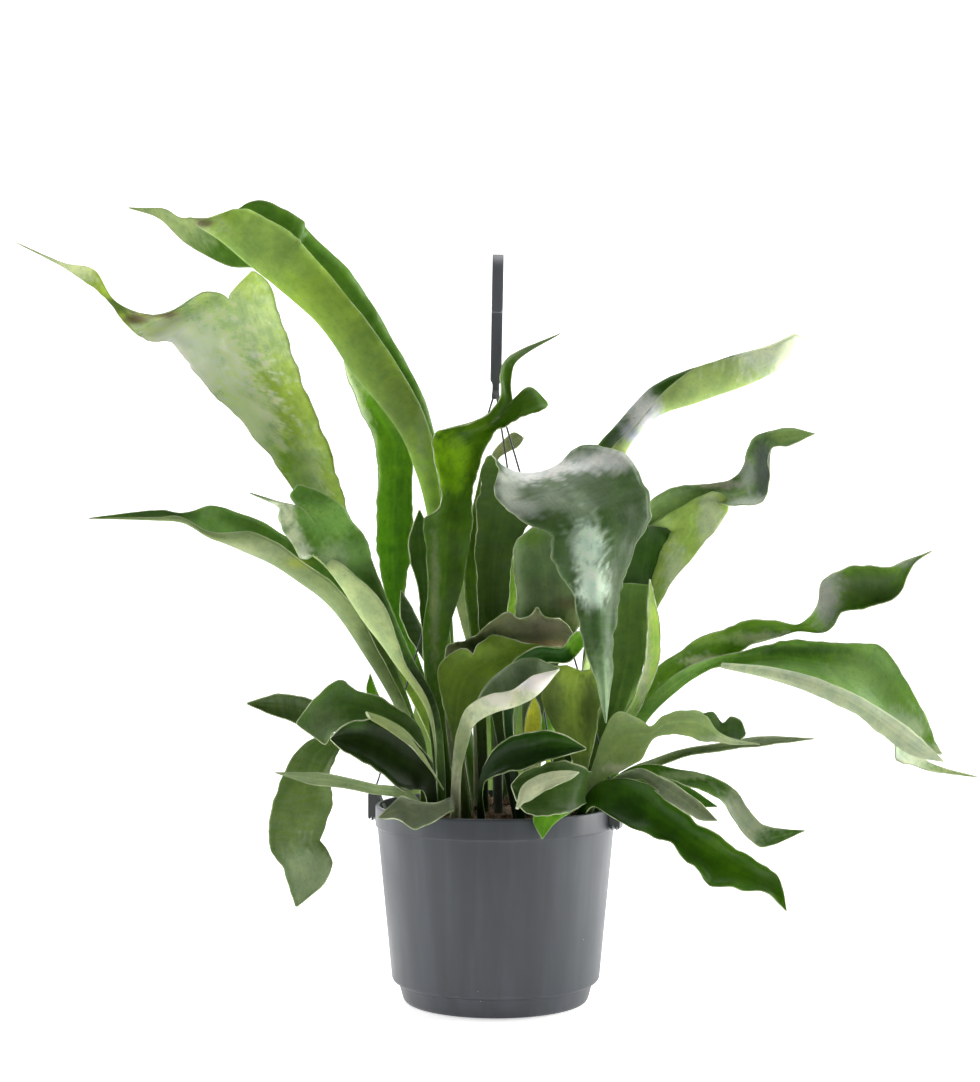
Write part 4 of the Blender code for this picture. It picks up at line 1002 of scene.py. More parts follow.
# %% Sections of the low fronds in the centre
frond_shape("frond_front_pale", (-28, -46, 180), [
    ((-24, 162), (-27, 160), (-31, 160), (-55, -56, -57)),
    ((-18, 184), (-22, 183), (-28, 186), (-60, -63, -64)),
    ((-13, 206), (-15, 195), (-22, 204), (-62, -70, -72)),
    ((-6, 222), (-1, 203), (-8, 214), (-62, -74, -78)),
    ((12, 236), (15, 209), (11, 218), (-62, -76, -82)),
    ((29, 241), (31, 217), (26, 227), (-64, -77, -84)),
], (45, 233, -80))
frond_shape("frond_centre_ruffled", (-21, -15, 0), [
    ((-36, 205), (-32, 205), (-28, 203), (-18, -18, -18)),
    ((-33, 251), (-27, 241), (-20, 230), (-22, -22, -24)),
    ((-13, 259), (-8, 249), (-4, 238), (-26, -23, -28)),
    ((-2, 272), (2, 259), (5, 244), (-28, -25, -30)),
    ((8, 276), (11, 261), (14, 245), (-29, -26, -30)),
    ((18, 273), (20, 260), (22, 246), (-30, -26, -31)),
    ((24, 275), (26, 261), (28, 246), (-30, -26, -32)),
    ((28, 279), (30, 263), (32, 246), (-30, -26, -32)),
    ((32, 278), (34, 262), (36, 246), (-30, -26, -32)),
    ((36, 274), (39, 260), (42, 246), (-30, -26, -32)),
    ((45, 272), (46, 260), (47, 247), (-28, -26, -30)),
    ((52, 265), (52, 257), (53, 248), (-28, -27, -29)),
], (56, 255, -28))
frond_shape("frond_centre_olive", (-19, -32, 180), [
    ((-24, 190), (-28, 190), (-32, 190), (-36, -36, -36)),
    ((-16, 210), (-26, 214), (-37, 218), (-40, -36, -42)),
    ((-10, 220), (-20, 229), (-34, 239), (-41, -36, -42)),
    ((-6, 224), (-15, 234), (-23, 247), (-42, -36, -42)),
    ((-2, 228), (-9, 237), (-17, 244), (-42, -36, -42)),
    ((4, 232), (-3, 242), (-11, 252), (-43, -37, -42)),
    ((14, 237), (8, 246), (0, 256), (-44, -38, -42)),
    ((28, 243), (24, 247), (20, 252), (-44, -41, -42)),
], (38, 249, -42))
frond_shape("frond_centre_bright", (18, -33, 0), [
    ((8, 175), (11, 175), (14, 175), (-41, -41, -41)),
    ((5, 205), (9, 204), (13, 203), (-47, -46, -47)),
    ((8, 234), (14, 229), (20, 224), (-52, -50, -52)),
    ((28, 250), (32, 243), (36, 236), (-54, -52, -54)),
    ((46, 249), (48, 243), (50, 237), (-54, -52, -54)),
    ((52, 257), (55, 250), (58, 242), (-53, -51, -54)),
    ((58, 261), (60, 255), (63, 249), (-52, -51, -54)),
], (66, 258, -54))
frond_shape("frond_centre_right_olive", (48, -25, 180), [
    ((66, 165), (60, 165), (55, 165), (-33, -33, -33)),
    ((70, 190), (57, 190), (43, 192), (-36, -33, -38)),
    ((72, 212), (55, 212), (36, 213), (-36, -32, -40)),
    ((73, 227), (58, 227), (42, 229), (-38, -34, -42)),
    ((72, 232), (59, 230), (45, 235), (-38, -36, -41)),
], (61, 232, -38))
frond_shape("frond_young", (29, -30, 0), [
    ((24, 165), (27, 165), (30, 165), (-33, -33, -33)),
    ((20, 190), (26, 190), (33, 190), (-34, -31, -34)),
    ((22, 204), (27, 204), (32, 204), (-34, -32, -34)),
], (27, 215, -33))
frond_shape("leaf_low_centre", (-10, -44, 0), [
    ((-10, 160), (-9, 156), (-8, 152), (-60, -60, -60)),
    ((3, 182), (6, 171), (8, 159), (-68, -66, -70)),
    ((23, 191), (24, 176), (25, 161), (-72, -68, -76)),
    ((43, 191), (43, 180), (43, 168), (-74, -71, -78)),
], (64, 177, -78))
frond_shape("leaf_low_front", (45, -42, 0), [
    ((62, 138), (64, 147), (66, 158), (-60, -62, -60)),
    ((57, 136), (60, 149), (62, 161), (-78, -76, -70)),
    ((44, 131), (45, 148), (46, 166), (-88, -84, -77)),
    ((30, 130), (31, 147), (32, 164), (-93, -88, -81)),
    ((18, 133), (18, 146), (19, 160), (-95, -92, -86)),
], (11, 151, -92))
frond_shape("leaf_low_tip", (33, -42, 0), [
    ((33, 144), (37, 144), (41, 144), (-66, -66, -66)),
    ((32, 138), (41, 138), (54, 137), (-80, -80, -80)),
    ((28, 131), (37, 130), (48, 129), (-87, -86, -86)),
    ((27, 124), (34, 123), (41, 123), (-89, -87, -87)),
], (33, 113, -89))
print(len(FRONDS), "fronds so far")


# %% Sections of the low fronds on the left
frond_shape("frond_left_front", (-42, -37, 0), [
    ((-52, 147), (-49, 157), (-46, 167), (-48, -46, -46)),
    ((-70, 147), (-67, 169), (-65, 188), (-60, -54, -52)),
    ((-90, 162), (-88, 182), (-88, 200), (-68, -58, -58)),
    ((-106, 171), (-104, 185), (-105, 197), (-70, -62, -64)),
], (-117, 184, -68))
frond_shape("frond_left_mid", (-49, -22, 0), [
    ((-57, 172), (-55, 180), (-52, 188), (-32, -30, -28)),
    ((-78, 185), (-77, 198), (-76, 211), (-40, -34, -34)),
    ((-98, 190), (-98, 206), (-98, 220), (-44, -38, -38)),
    ((-113, 187), (-114, 206), (-110, 225), (-50, -42, -38)),
    ((-122, 178), (-128, 197), (-127, 215), (-54, -46, -42)),
], (-141, 195, -48))
frond_shape("frond_left_dark_tip", (-61, -14, 0), [
    ((-74, 180), (-75, 185), (-75, 190), (-17, -17, -17)),
    ((-102, 192), (-102, 200), (-102, 208), (-22, -20, -20)),
    ((-130, 190), (-130, 202), (-130, 214), (-24, -20, -22)),
    ((-150, 196), (-150, 207), (-150, 218), (-24, -20, -22)),
], (-176, 209, -22))
frond_shape("frond_left_hanging", (-54, -17, 180), [
    ((-76, 174), (-77, 178), (-78, 182), (-25, -25, -25)),
    ((-105, 178), (-107, 183), (-109, 188), (-30, -30, -30)),
    ((-113, 172), (-124, 176), (-134, 181), (-36, -36, -34)),
    ((-118, 156), (-133, 158), (-147, 158), (-42, -42, -38)),
    ((-119, 137), (-137, 135), (-155, 135), (-40, -48, -42)),
    ((-126, 113), (-142, 113), (-158, 113), (-40, -48, -44)),
    ((-117, 98), (-135, 97), (-152, 96), (-44, -46, -46)),
    ((-120, 82), (-133, 81), (-147, 80), (-48, -46, -46)),
], (-141, 65, -46))
frond_shape("leaf_left_narrow", (-47, -44, 0), [
    ((-60, 139), (-60, 143), (-60, 147), (-60, -60, -60)),
    ((-86, 145), (-86, 149), (-86, 152), (-72, -72, -72)),
    ((-110, 149), (-110, 154), (-110, 158), (-78, -76, -76)),
    ((-130, 152), (-130, 156), (-130, 160), (-80, -80, -78)),
], (-157, 160, -82))
frond_shape("leaf_over_rim", (-33, -51, 0), [
    ((-30, 133), (-30, 137), (-31, 142), (-74, -72, -70)),
    ((-41, 127), (-42, 133), (-43, 138), (-84, -80, -78)),
    ((-55, 119), (-55, 130), (-56, 140), (-86, -80, -77)),
    ((-67, 125), (-67, 134), (-67, 143), (-80, -75, -72)),
], (-83, 128, -74))
print(len(FRONDS), "fronds so far")


# %% Sections of the small ones between the others
frond_shape("leaf_small_left", (-27, 33, 0), [
    ((-62, 185), (-59, 185), (-56, 185), (35, 35, 35)),
    ((-91, 215), (-86, 214), (-81, 213), (34, 35, 34)),
], (-89, 230, 34))
frond_shape("leaf_tiny_back", (2, 14, 0), [
    ((-2, 250), (0, 250), (2, 250), (22, 22, 22)),
    ((-7, 345), (-6, 344), (-5, 343), (30, 30, 30)),
    ((-3, 384), (-1, 382), (1, 380), (32, 32, 32)),
    ((6, 396), (8, 392), (10, 388), (33, 33, 33)),
    ((13, 401), (14, 396), (16, 391), (33, 33, 33)),
], (20, 397, 34))
frond_shape("frond_left_shaded", (-37, -1, 0), [
    ((-50, 225), (-47, 225), (-44, 225), (0, 0, 0)),
    ((-55, 285), (-50, 285), (-44, 285), (0, 2, 0)),
    ((-63, 322), (-54, 323), (-44, 324), (0, 2, 0)),
], (-54, 346, 1))
frond_shape("leaf_teal_back", (-19, 26, 0), [
    ((-44, 225), (-41, 225), (-38, 225), (28, 28, 28)),
    ((-67, 265), (-59, 264), (-51, 264), (26, 28, 26)),
], (-67, 289, 26))
frond_shape("frond_slim_shaded", (-8, 20, 0), [
    ((-16, 240), (-12, 240), (-8, 240), (20, 20, 20)),
    ((-23, 310), (-18, 310), (-12, 310), (16, 18, 16)),
], (-10, 375, 14))
frond_shape("leaf_pale_between", (-12, 31, 180), [
    ((-12, 240), (-15, 240), (-18, 240), (30, 30, 30)),
    ((-15, 278), (-21, 280), (-28, 283), (28, 30, 28)),
], (-24, 308, 28))
print(len(FRONDS), "fronds so far")


# %% Sections of the fronds behind
frond_shape("frond_back_arching", (10, 55, 0), [
    ((2, 190), (8, 190), (14, 190), (78, 76, 78)),
    ((-8, 240), (8, 240), (24, 240), (114, 108, 114)),
    ((-12, 248), (8, 252), (28, 248), (150, 148, 150)),
    ((-14, 222), (8, 226), (30, 222), (180, 184, 180)),
    ((-10, 170), (6, 172), (24, 170), (196, 204, 196)),
    ((-6, 118), (4, 120), (16, 118), (196, 204, 196)),
], (2, 66, 196))
frond_shape("frond_back_left", (-12, 56, 10), [
    ((-28, 185), (-22, 185), (-16, 185), (76, 74, 76)),
    ((-48, 218), (-38, 224), (-26, 222), (104, 100, 104)),
    ((-56, 205), (-44, 214), (-28, 215), (136, 134, 136)),
    ((-60, 160), (-46, 168), (-30, 168), (156, 160, 156)),
    ((-58, 110), (-46, 112), (-34, 112), (160, 166, 160)),
], (-48, 62, 156))
frond_shape("frond_back_right", (25, 47, -10), [
    ((26, 180), (31, 180), (36, 180), (76, 74, 76)),
    ((34, 222), (46, 224), (60, 216), (94, 90, 94)),
    ((38, 228), (50, 230), (66, 218), (126, 124, 126)),
    ((40, 190), (54, 196), (70, 186), (154, 158, 154)),
    ((42, 130), (56, 134), (70, 128), (164, 172, 164)),
], (58, 84, 162))
frond_shape("frond_back_tall", (29, 32, 0), [
    ((56, 210), (62, 210), (68, 210), (52, 52, 52)),
    ((66, 270), (76, 272), (88, 270), (74, 70, 74)),
    ((72, 308), (86, 312), (100, 306), (100, 96, 100)),
    ((74, 316), (88, 322), (100, 314), (128, 128, 128)),
    ((74, 288), (86, 292), (97, 286), (150, 154, 150)),
    ((76, 240), (84, 242), (92, 238), (158, 164, 158)),
], (80, 190, 156))
frond_shape("frond_back_upright", (2, 58, 0), [
    ((-4, 200), (0, 200), (4, 200), (62, 62, 62)),
    ((-6, 260), (4, 260), (14, 260), (68, 70, 68)),
    ((-4, 300), (9, 300), (22, 300), (72, 78, 72)),
    ((4, 322), (14, 322), (24, 320), (78, 82, 78)),
], (16, 334, 84))
print(len(FRONDS), "fronds in all")


# %% [markdown]
# ## How green each frond is
# Fronds of one plant differ: old ones are dark and downy, young ones are bright, and those that
# turn their underside to the front look sage or cream. The record names six such finishes. Each
# gives the colour of both sides, how much down lies on the upper side, how far a painted glow,
# as of light through the blade, brightens its upper half, how the margin waves, how deep a
# channel the blade makes and how ragged its margin is. Soft spots of paint, placed on the front
# elevation in millimetres, add what is particular to one frond. Most of them are painted light
# and shade: painted highlights and grey sheen, a painted glow where light comes through, and
# painted shade on the parts turned away from the lamps. A few are the frond's own colour: a pale
# band along a curled margin, a scorched edge.

# %% The six finishes
def look(upper, under, down, lit=0.0, ruffle=0.8, wave=34.0, channel=0.10, ragged=1.6,
         paint=()):
    return {"upper": upper, "under": under, "down": down, "lit": lit, "ruffle": ruffle,
            "wave": wave, "channel": channel, "ragged": ragged, "paint": paint}


LOOKS = {
    "frond_deep_green": look((0.046, 0.115, 0.008), (0.17, 0.27, 0.06), 0.15),
    "frond_scurfy_green": look((0.050, 0.105, 0.024), (0.24, 0.32, 0.12), 0.6),
    "frond_bright_green": look((0.075, 0.210, 0.006), (0.26, 0.42, 0.06), 0.08, 0.4),
    "frond_olive": look((0.080, 0.165, 0.012), (0.18, 0.30, 0.04), 0.2, 0.3),
    "frond_sage": look((0.090, 0.160, 0.036), (0.26, 0.36, 0.15), 0.35, 0.2),
    "frond_cream_green": look((0.100, 0.160, 0.060), (0.58, 0.66, 0.42), 0.4),
}
print(len(LOOKS), "finishes")


# %% Looks of the fronds at the upper left
# most spots below are painted highlights, sheen, glow and shade; a few, such as SCORCH, are the
# frond's own colour
# a spot of paint: (side, x, z, reach across, reach upward, colour, strength)
PALE = (0.50, 0.60, 0.36)
PALER = (0.62, 0.70, 0.54)
SCORCH = (0.10, 0.045, 0.015)
OWN_LOOKS = {}


def own_look(node, **own):
    """Keeps what sets one frond apart from the finish of its slot."""
    OWN_LOOKS[node] = own


own_look("frond_upper_left", under=(0.20, 0.36, 0.045), upper=(0.080, 0.20, 0.020), paint=(
    ("under", -165, 535, 48, 30, (0.29, 0.48, 0.10), 0.85),
    ("under", -96, 454, 26, 32, (0.14, 0.25, 0.045), 0.6),
    ("under", -70, 415, 22, 36, (0.12, 0.20, 0.035), 0.75),
    ("both", -52, 402, 5, 30, (0.26, 0.38, 0.14), 0.6),
    ("both", -238, 548, 44, 22, (0.50, 0.62, 0.32), 0.95),
    ("both", -206, 549, 8, 3, SCORCH, 0.7)))
own_look("frond_pale_fan", under=(0.31, 0.47, 0.080), channel=0.03, paint=(
    ("under", -190, 474, 62, 42, (0.60, 0.74, 0.42), 0.8),
    ("under", -223, 445, 48, 44, (1.0, 1.0, 0.96), 0.95),
    ("under", -178, 394, 29, 50, (1.0, 1.0, 0.90), 0.9),
    ("under", -134, 360, 14, 40, (0.72, 0.82, 0.56), 0.7),
    ("under", -136, 372, 10, 30, (0.22, 0.38, 0.03), 0.5),
    ("both", -238, 486, 15, 4, SCORCH, 0.95), ("both", -255, 481, 10, 4, SCORCH, 0.8),
    ("both", -310, 520, 34, 16, (0.66, 0.74, 0.54), 0.95),
    ("both", -268, 491, 14, 8, (0.07, 0.14, 0.03), 0.85)))
own_look("frond_mid_left", upper=(0.125, 0.300, 0.030), under=(0.21, 0.37, 0.05),
         lit=0.5, paint=(
    ("upper", -104, 444, 13, 14, PALER, 0.95), ("upper", -101, 428, 10, 14, PALER, 0.95),
    ("upper", -95, 410, 7, 13, PALER, 0.95), ("upper", -88, 392, 5, 14, PALE, 0.9),
    ("upper", -86, 370, 4, 18, PALE, 0.8),
    ("upper", -64, 330, 12, 70, (0.050, 0.14, 0.010), 0.6),
    ("both", -36, 215, 24, 60, (0.030, 0.065, 0.008), 0.9)))
own_look("frond_left_folded", upper=(0.082, 0.190, 0.024), under=(0.22, 0.31, 0.12),
         channel=0.0, paint=(
    ("both", -139, 309, 12, 5, (0.30, 0.38, 0.05), 0.6),
    ("upper", -240, 343, 30, 6, (0.045, 0.090, 0.018), 0.7),
    ("under", -170, 318, 40, 8, (0.34, 0.42, 0.22), 0.7),
    ("both", -80, 236, 22, 44, (0.070, 0.120, 0.022), 0.85)))
own_look("frond_front_left", upper=(0.085, 0.200, 0.025), under=(0.43, 0.57, 0.25), paint=(
    ("upper", -120, 340, 28, 14, (0.20, 0.40, 0.09), 0.85),
    ("upper", -84, 285, 9, 40, (0.06, 0.125, 0.018), 0.8),
    ("upper", -113, 313, 13, 12, (0.24, 0.33, 0.19), 0.55),
    ("upper", -155, 350, 12, 7, PALER, 0.9), ("upper", -148, 340, 7, 9, PALER, 0.9),
    ("upper", -143, 328, 7, 9, PALER, 0.9), ("upper", -137, 316, 6, 9, PALER, 0.9),
    ("under", -58, 218, 18, 40, (0.26, 0.36, 0.10), 0.7),
    ("upper", -50, 210, 16, 44, (0.026, 0.058, 0.008), 0.9)))
print(len(OWN_LOOKS), "looks so far")


# %% Looks of the tall fronds in the centre
# frond_centre_tall: a painted glow on its head, where light comes through, and painted shade under
# the head and on its stipe
own_look("frond_centre_tall", upper=(0.064, 0.160, 0.005), down=0.05, lit=0.0, paint=(
    ("upper", -30, 382, 20, 17, (0.31, 0.60, 0.011), 0.95),
    ("upper", -32, 366, 12, 9, (0.24, 0.50, 0.010), 0.8),
    ("upper", -6, 400, 18, 12, (0.13, 0.28, 0.007), 0.8),
    ("upper", -14, 375, 8, 20, (0.035, 0.090, 0.003), 0.7),
    ("upper", -43, 285, 4, 55, (0.20, 0.27, 0.12), 0.8),
    ("upper", -30, 290, 6, 60, (0.034, 0.075, 0.006), 0.6),
    ("upper", 20, 462, 26, 12, (0.16, 0.24, 0.11), 0.8)))
# frond_centre_drooping: painted grey-white sheen along the top of its arch and down the middle of
# the hanging blade, and painted shade on its right side
own_look("frond_centre_drooping", upper=(0.048, 0.105, 0.022), under=(0.042, 0.100, 0.004),
         down=0.3, channel=0.05, ragged=3.0, paint=(
    ("upper", 78, 381, 30, 9, (0.50, 0.54, 0.52), 0.9),
    ("upper", 48, 376, 24, 5, (0.72, 0.76, 0.76), 0.9),
    ("upper", 24, 372, 24, 7, (0.72, 0.76, 0.76), 0.95),
    ("upper", 8, 358, 9, 20, (0.42, 0.50, 0.42), 0.9),
    ("upper", 22, 347, 16, 8, (0.36, 0.42, 0.36), 0.85),
    ("upper", 40, 352, 16, 10, (0.20, 0.27, 0.18), 0.8),
    ("upper", 60, 345, 12, 16, (0.18, 0.27, 0.16), 0.8),
    ("upper", 65, 320, 13, 20, (0.70, 0.92, 0.74), 0.9),
    ("upper", 69, 293, 12, 20, (0.74, 0.96, 0.78), 0.95),
    ("upper", 75, 215, 7, 34, (0.20, 0.34, 0.16), 0.9),
    ("upper", 74, 265, 16, 13, (0.055, 0.125, 0.030), 0.85),
    ("upper", 97, 330, 11, 38, (0.022, 0.060, 0.006), 0.9),
    ("upper", 85, 286, 4, 34, (0.030, 0.075, 0.010), 0.9),
    ("upper", 49, 310, 6, 22, (0.080, 0.160, 0.050), 0.8)))
own_look("frond_behind_drooping", upper=(0.150, 0.240, 0.100), paint=(
    ("upper", 24, 328, 14, 9, (0.12, 0.24, 0.030), 0.8),
    ("upper", 34, 290, 18, 12, (0.120, 0.165, 0.080), 0.6),
    ("upper", 50, 280, 12, 6, (0.14, 0.15, 0.065), 0.9),
    ("upper", 57, 266, 8, 10, (0.36, 0.42, 0.22), 0.9)))
print(len(OWN_LOOKS), "looks so far")


# %% Looks of the fronds on the right
# frond_upper_right: a painted lilac-white sheen where the blade turns over near its base
own_look("frond_upper_right", under=(0.36, 0.52, 0.16), channel=0.0, paint=(
    ("both", 104, 415, 15, 18, (0.62, 0.64, 0.78), 0.95),
    ("both", 94, 402, 9, 10, (0.40, 0.43, 0.56), 0.85),
    ("both", 84, 396, 7, 9, (0.10, 0.15, 0.10), 0.8),
    ("under", 88, 388, 9, 5, (0.40, 0.52, 0.16), 0.9),
    ("both", 204, 459, 46, 20, (0.70, 0.77, 0.66), 0.9),
    ("upper", 128, 435, 20, 9, (0.035, 0.095, 0.012), 0.8)))
# frond_right_twisted: a painted grey sheen along its upper edge and inside its curl, and painted
# shade down the far side of the curl
own_look("frond_right_twisted", upper=(0.150, 0.260, 0.085), under=(0.22, 0.30, 0.18),
         paint=(
    ("upper", 122, 346, 34, 14, (0.28, 0.44, 0.15), 0.85),
    ("both", 160, 364, 20, 4, (0.46, 0.46, 0.46), 0.8),
    ("both", 190, 374, 9, 30, (0.035, 0.060, 0.040), 0.95),
    ("both", 180, 350, 16, 6, (0.44, 0.50, 0.50), 0.85),
    ("both", 178, 372, 6, 12, (0.40, 0.46, 0.46), 0.8),
    ("both", 208, 399, 16, 6, (0.22, 0.34, 0.10), 0.85)))
own_look("frond_right_pale", under=(0.30, 0.46, 0.12), upper=(0.20, 0.34, 0.08), paint=(
    ("under", 152, 336, 10, 30, (0.52, 0.60, 0.42), 0.8),
    ("under", 128, 298, 10, 26, (0.55, 0.62, 0.46), 0.8),
    ("both", 114, 338, 14, 8, (0.42, 0.58, 0.22), 0.9)))
# frond_right_shaded lies in a shaded trough between its neighbours; its dark colour is painted
# shade
own_look("frond_right_shaded", upper=(0.025, 0.080, 0.002), down=0.05)
own_look("frond_right_upright", under=(0.11, 0.22, 0.035))
own_look("frond_narrow_rolled", upper=(0.50, 0.74, 0.26), paint=(
    ("upper", 105, 250, 5, 70, (0.66, 0.74, 0.54), 0.9),))
# frond_right_waved: painted grey sheen where it bends and at its tip
own_look("frond_right_waved", upper=(0.130, 0.290, 0.018), paint=(
    ("upper", 265, 292, 42, 20, (0.056, 0.110, 0.020), 0.9),
    ("upper", 234, 284, 12, 26, (0.34, 0.36, 0.36), 0.85),
    ("upper", 150, 239, 20, 5, (0.60, 0.66, 0.50), 0.85),
    ("upper", 124, 216, 12, 8, (0.50, 0.58, 0.36), 0.8),
    ("upper", 190, 255, 30, 5, (0.62, 0.66, 0.56), 0.85),
    ("upper", 150, 256, 34, 6, (0.24, 0.42, 0.07), 0.7),
    ("upper", 292, 309, 10, 5, (0.22, 0.26, 0.20), 0.8)))
own_look("frond_far_right", upper=(0.160, 0.350, 0.050), down=0.25, lit=0.1, paint=(
    ("upper", 262, 226, 32, 30, (0.26, 0.45, 0.15), 0.8),
    ("upper", 290, 192, 18, 14, (0.50, 0.62, 0.44), 0.85),
    ("upper", 306, 174, 14, 8, PALER, 0.9),
    ("upper", 288, 168, 26, 14, (0.70, 0.78, 0.66), 0.95),
    ("upper", 325, 160, 24, 9, (0.60, 0.72, 0.46), 0.9),
    ("upper", 215, 247, 50, 4, (0.050, 0.14, 0.014), 0.8)))
print(len(OWN_LOOKS), "looks so far")


# %% Looks of the low fronds on the right
own_look("frond_right_ruffled", ruffle=1.4, wave=26.0, under=(0.25, 0.38, 0.12), paint=(
    ("both", 92, 176, 16, 16, (0.16, 0.25, 0.05), 0.6),
    ("both", 92, 200, 18, 6, (0.34, 0.46, 0.20), 0.7),
    ("both", 90, 163, 16, 4, (0.50, 0.54, 0.40), 0.7),
    ("both", 168, 182, 22, 5, (0.46, 0.56, 0.34), 0.8)))
own_look("frond_right_slim", upper=(0.20, 0.25, 0.16), lit=0.0)
own_look("frond_right_low", upper=(0.060, 0.150, 0.016), lit=0.1, paint=(
    ("upper", 178, 130, 26, 26, (0.36, 0.41, 0.33), 0.9),
    ("upper", 130, 158, 22, 4, (0.40, 0.48, 0.36), 0.7)))
own_look("frond_right_small_green", upper=(0.045, 0.130, 0.010), lit=0.1)
own_look("frond_right_small_grey", upper=(0.150, 0.200, 0.110), lit=0.1)
own_look("frond_right_front_large", ruffle=2.0, wave=24.0, upper=(0.030, 0.098, 0.001),
         down=0.02, lit=0.3, paint=(
    ("upper", 92, 132, 20, 12, (0.012, 0.046, 0.001), 0.8),
    ("upper", 165, 108, 26, 8, (0.070, 0.17, 0.004), 0.6),
    ("upper", 192, 84, 12, 10, (0.050, 0.11, 0.015), 0.7)))
print(len(OWN_LOOKS), "looks so far")


# %% Looks of the low fronds in the centre
# frond_front_pale: near-white painted highlights on its upper part
own_look("frond_front_pale", paint=(
    ("under", -24, 183, 9, 28, (0.17, 0.24, 0.09), 0.85),
    ("under", 2, 213, 14, 9, (0.86, 0.90, 0.76), 0.9),
    ("under", 26, 226, 24, 12, (1.0, 1.0, 1.0), 1.0),
    ("upper", 15, 232, 26, 8, (0.13, 0.19, 0.11), 0.8)))
own_look("frond_centre_ruffled", ruffle=1.6, wave=22.0, ragged=3.0,
         upper=(0.24, 0.275, 0.14), down=0.3, paint=(
    ("upper", 36, 262, 20, 10, (0.19, 0.17, 0.12), 0.7),
    ("upper", 38, 250, 22, 4, (0.34, 0.24, 0.12), 0.7),
    ("upper", -10, 250, 20, 10, (0.035, 0.060, 0.010), 0.9)))
own_look("frond_centre_olive", under=(0.10, 0.19, 0.011), ruffle=1.6, ragged=3.5, paint=(
    ("under", -10, 246, 24, 6, (0.20, 0.34, 0.04), 0.8),))
own_look("frond_centre_bright", upper=(0.014, 0.082, 0.001), lit=0.1, paint=(
    ("both", 60, 253, 10, 12, (0.22, 0.50, 0.03), 0.95),))
own_look("frond_centre_right_olive", paint=(
    ("both", 40, 212, 9, 26, (0.060, 0.105, 0.015), 0.8),
    ("both", 68, 205, 9, 26, (0.045, 0.090, 0.010), 0.8)))
own_look("frond_young", upper=(0.70, 0.80, 0.08), under=(0.70, 0.80, 0.08))
own_look("leaf_low_centre", upper=(0.014, 0.058, 0.002), down=0.02, paint=(
    ("upper", 46, 182, 22, 6, (0.034, 0.115, 0.004), 0.7),
    ("upper", 8, 165, 16, 12, (0.014, 0.040, 0.003), 0.8)))
own_look("leaf_low_front", upper=(0.042, 0.095, 0.012), down=0.10, ragged=2.5, paint=(
    ("upper", 45, 162, 20, 3, (0.030, 0.080, 0.006), 0.8),))
own_look("leaf_low_tip", upper=(0.075, 0.240, 0.004), under=(0.12, 0.34, 0.006))
print(len(OWN_LOOKS), "looks so far")


# %% Looks of the low fronds on the left and the small ones
own_look("frond_left_front", upper=(0.014, 0.034, 0.003), down=0.02, paint=(
    ("upper", -98, 194, 10, 6, (0.050, 0.12, 0.020), 0.8),))
own_look("frond_left_mid", upper=(0.086, 0.188, 0.026), down=0.3, lit=0.0, paint=(
    ("upper", -122, 195, 16, 16, (0.15, 0.23, 0.10), 0.8),))
own_look("frond_left_dark_tip", upper=(0.046, 0.092, 0.018))
# frond_left_hanging: a painted sheen along its right edge
own_look("frond_left_hanging", under=(0.18, 0.26, 0.13), paint=(
    ("under", -122, 135, 8, 40, (0.42, 0.47, 0.40), 0.8),
    ("under", -150, 130, 8, 40, (0.16, 0.26, 0.12), 0.7),
    ("under", -145, 168, 12, 14, (0.09, 0.17, 0.05), 0.7),
    ("both", -134, 86, 30, 26, (0.24, 0.33, 0.18), 0.9)))
own_look("leaf_left_narrow", upper=(0.22, 0.31, 0.15))
own_look("leaf_tiny_back", upper=(0.22, 0.28, 0.20), under=(0.22, 0.28, 0.20))
own_look("frond_back_upright", paint=(("both", 12, 294, 16, 40, (0.40, 0.58, 0.14), 0.95),))
own_look("leaf_over_rim", ruffle=2.0, wave=20.0, upper=(0.140, 0.180, 0.100))
print(len(OWN_LOOKS), "fronds have a look of their own")


# %% All the fronds
for node, shape in FRONDS.items():
    make_frond(node, shape, {**LOOKS[slot_of[node]], **OWN_LOOKS.get(node, {})})
print(len(FRONDS), "fronds made")

# %% [markdown]
# Two low leaves and the farthest frond on the right have a margin that is folded right over,
# so that a strip of pale underside lies on the green blade. The margin of a fourth curls up
# behind its pale underside and shows the dark upper side. Each fold is a narrow sheet of its
# own. It stands a few millimetres off the blade, and two of them touch it in places.

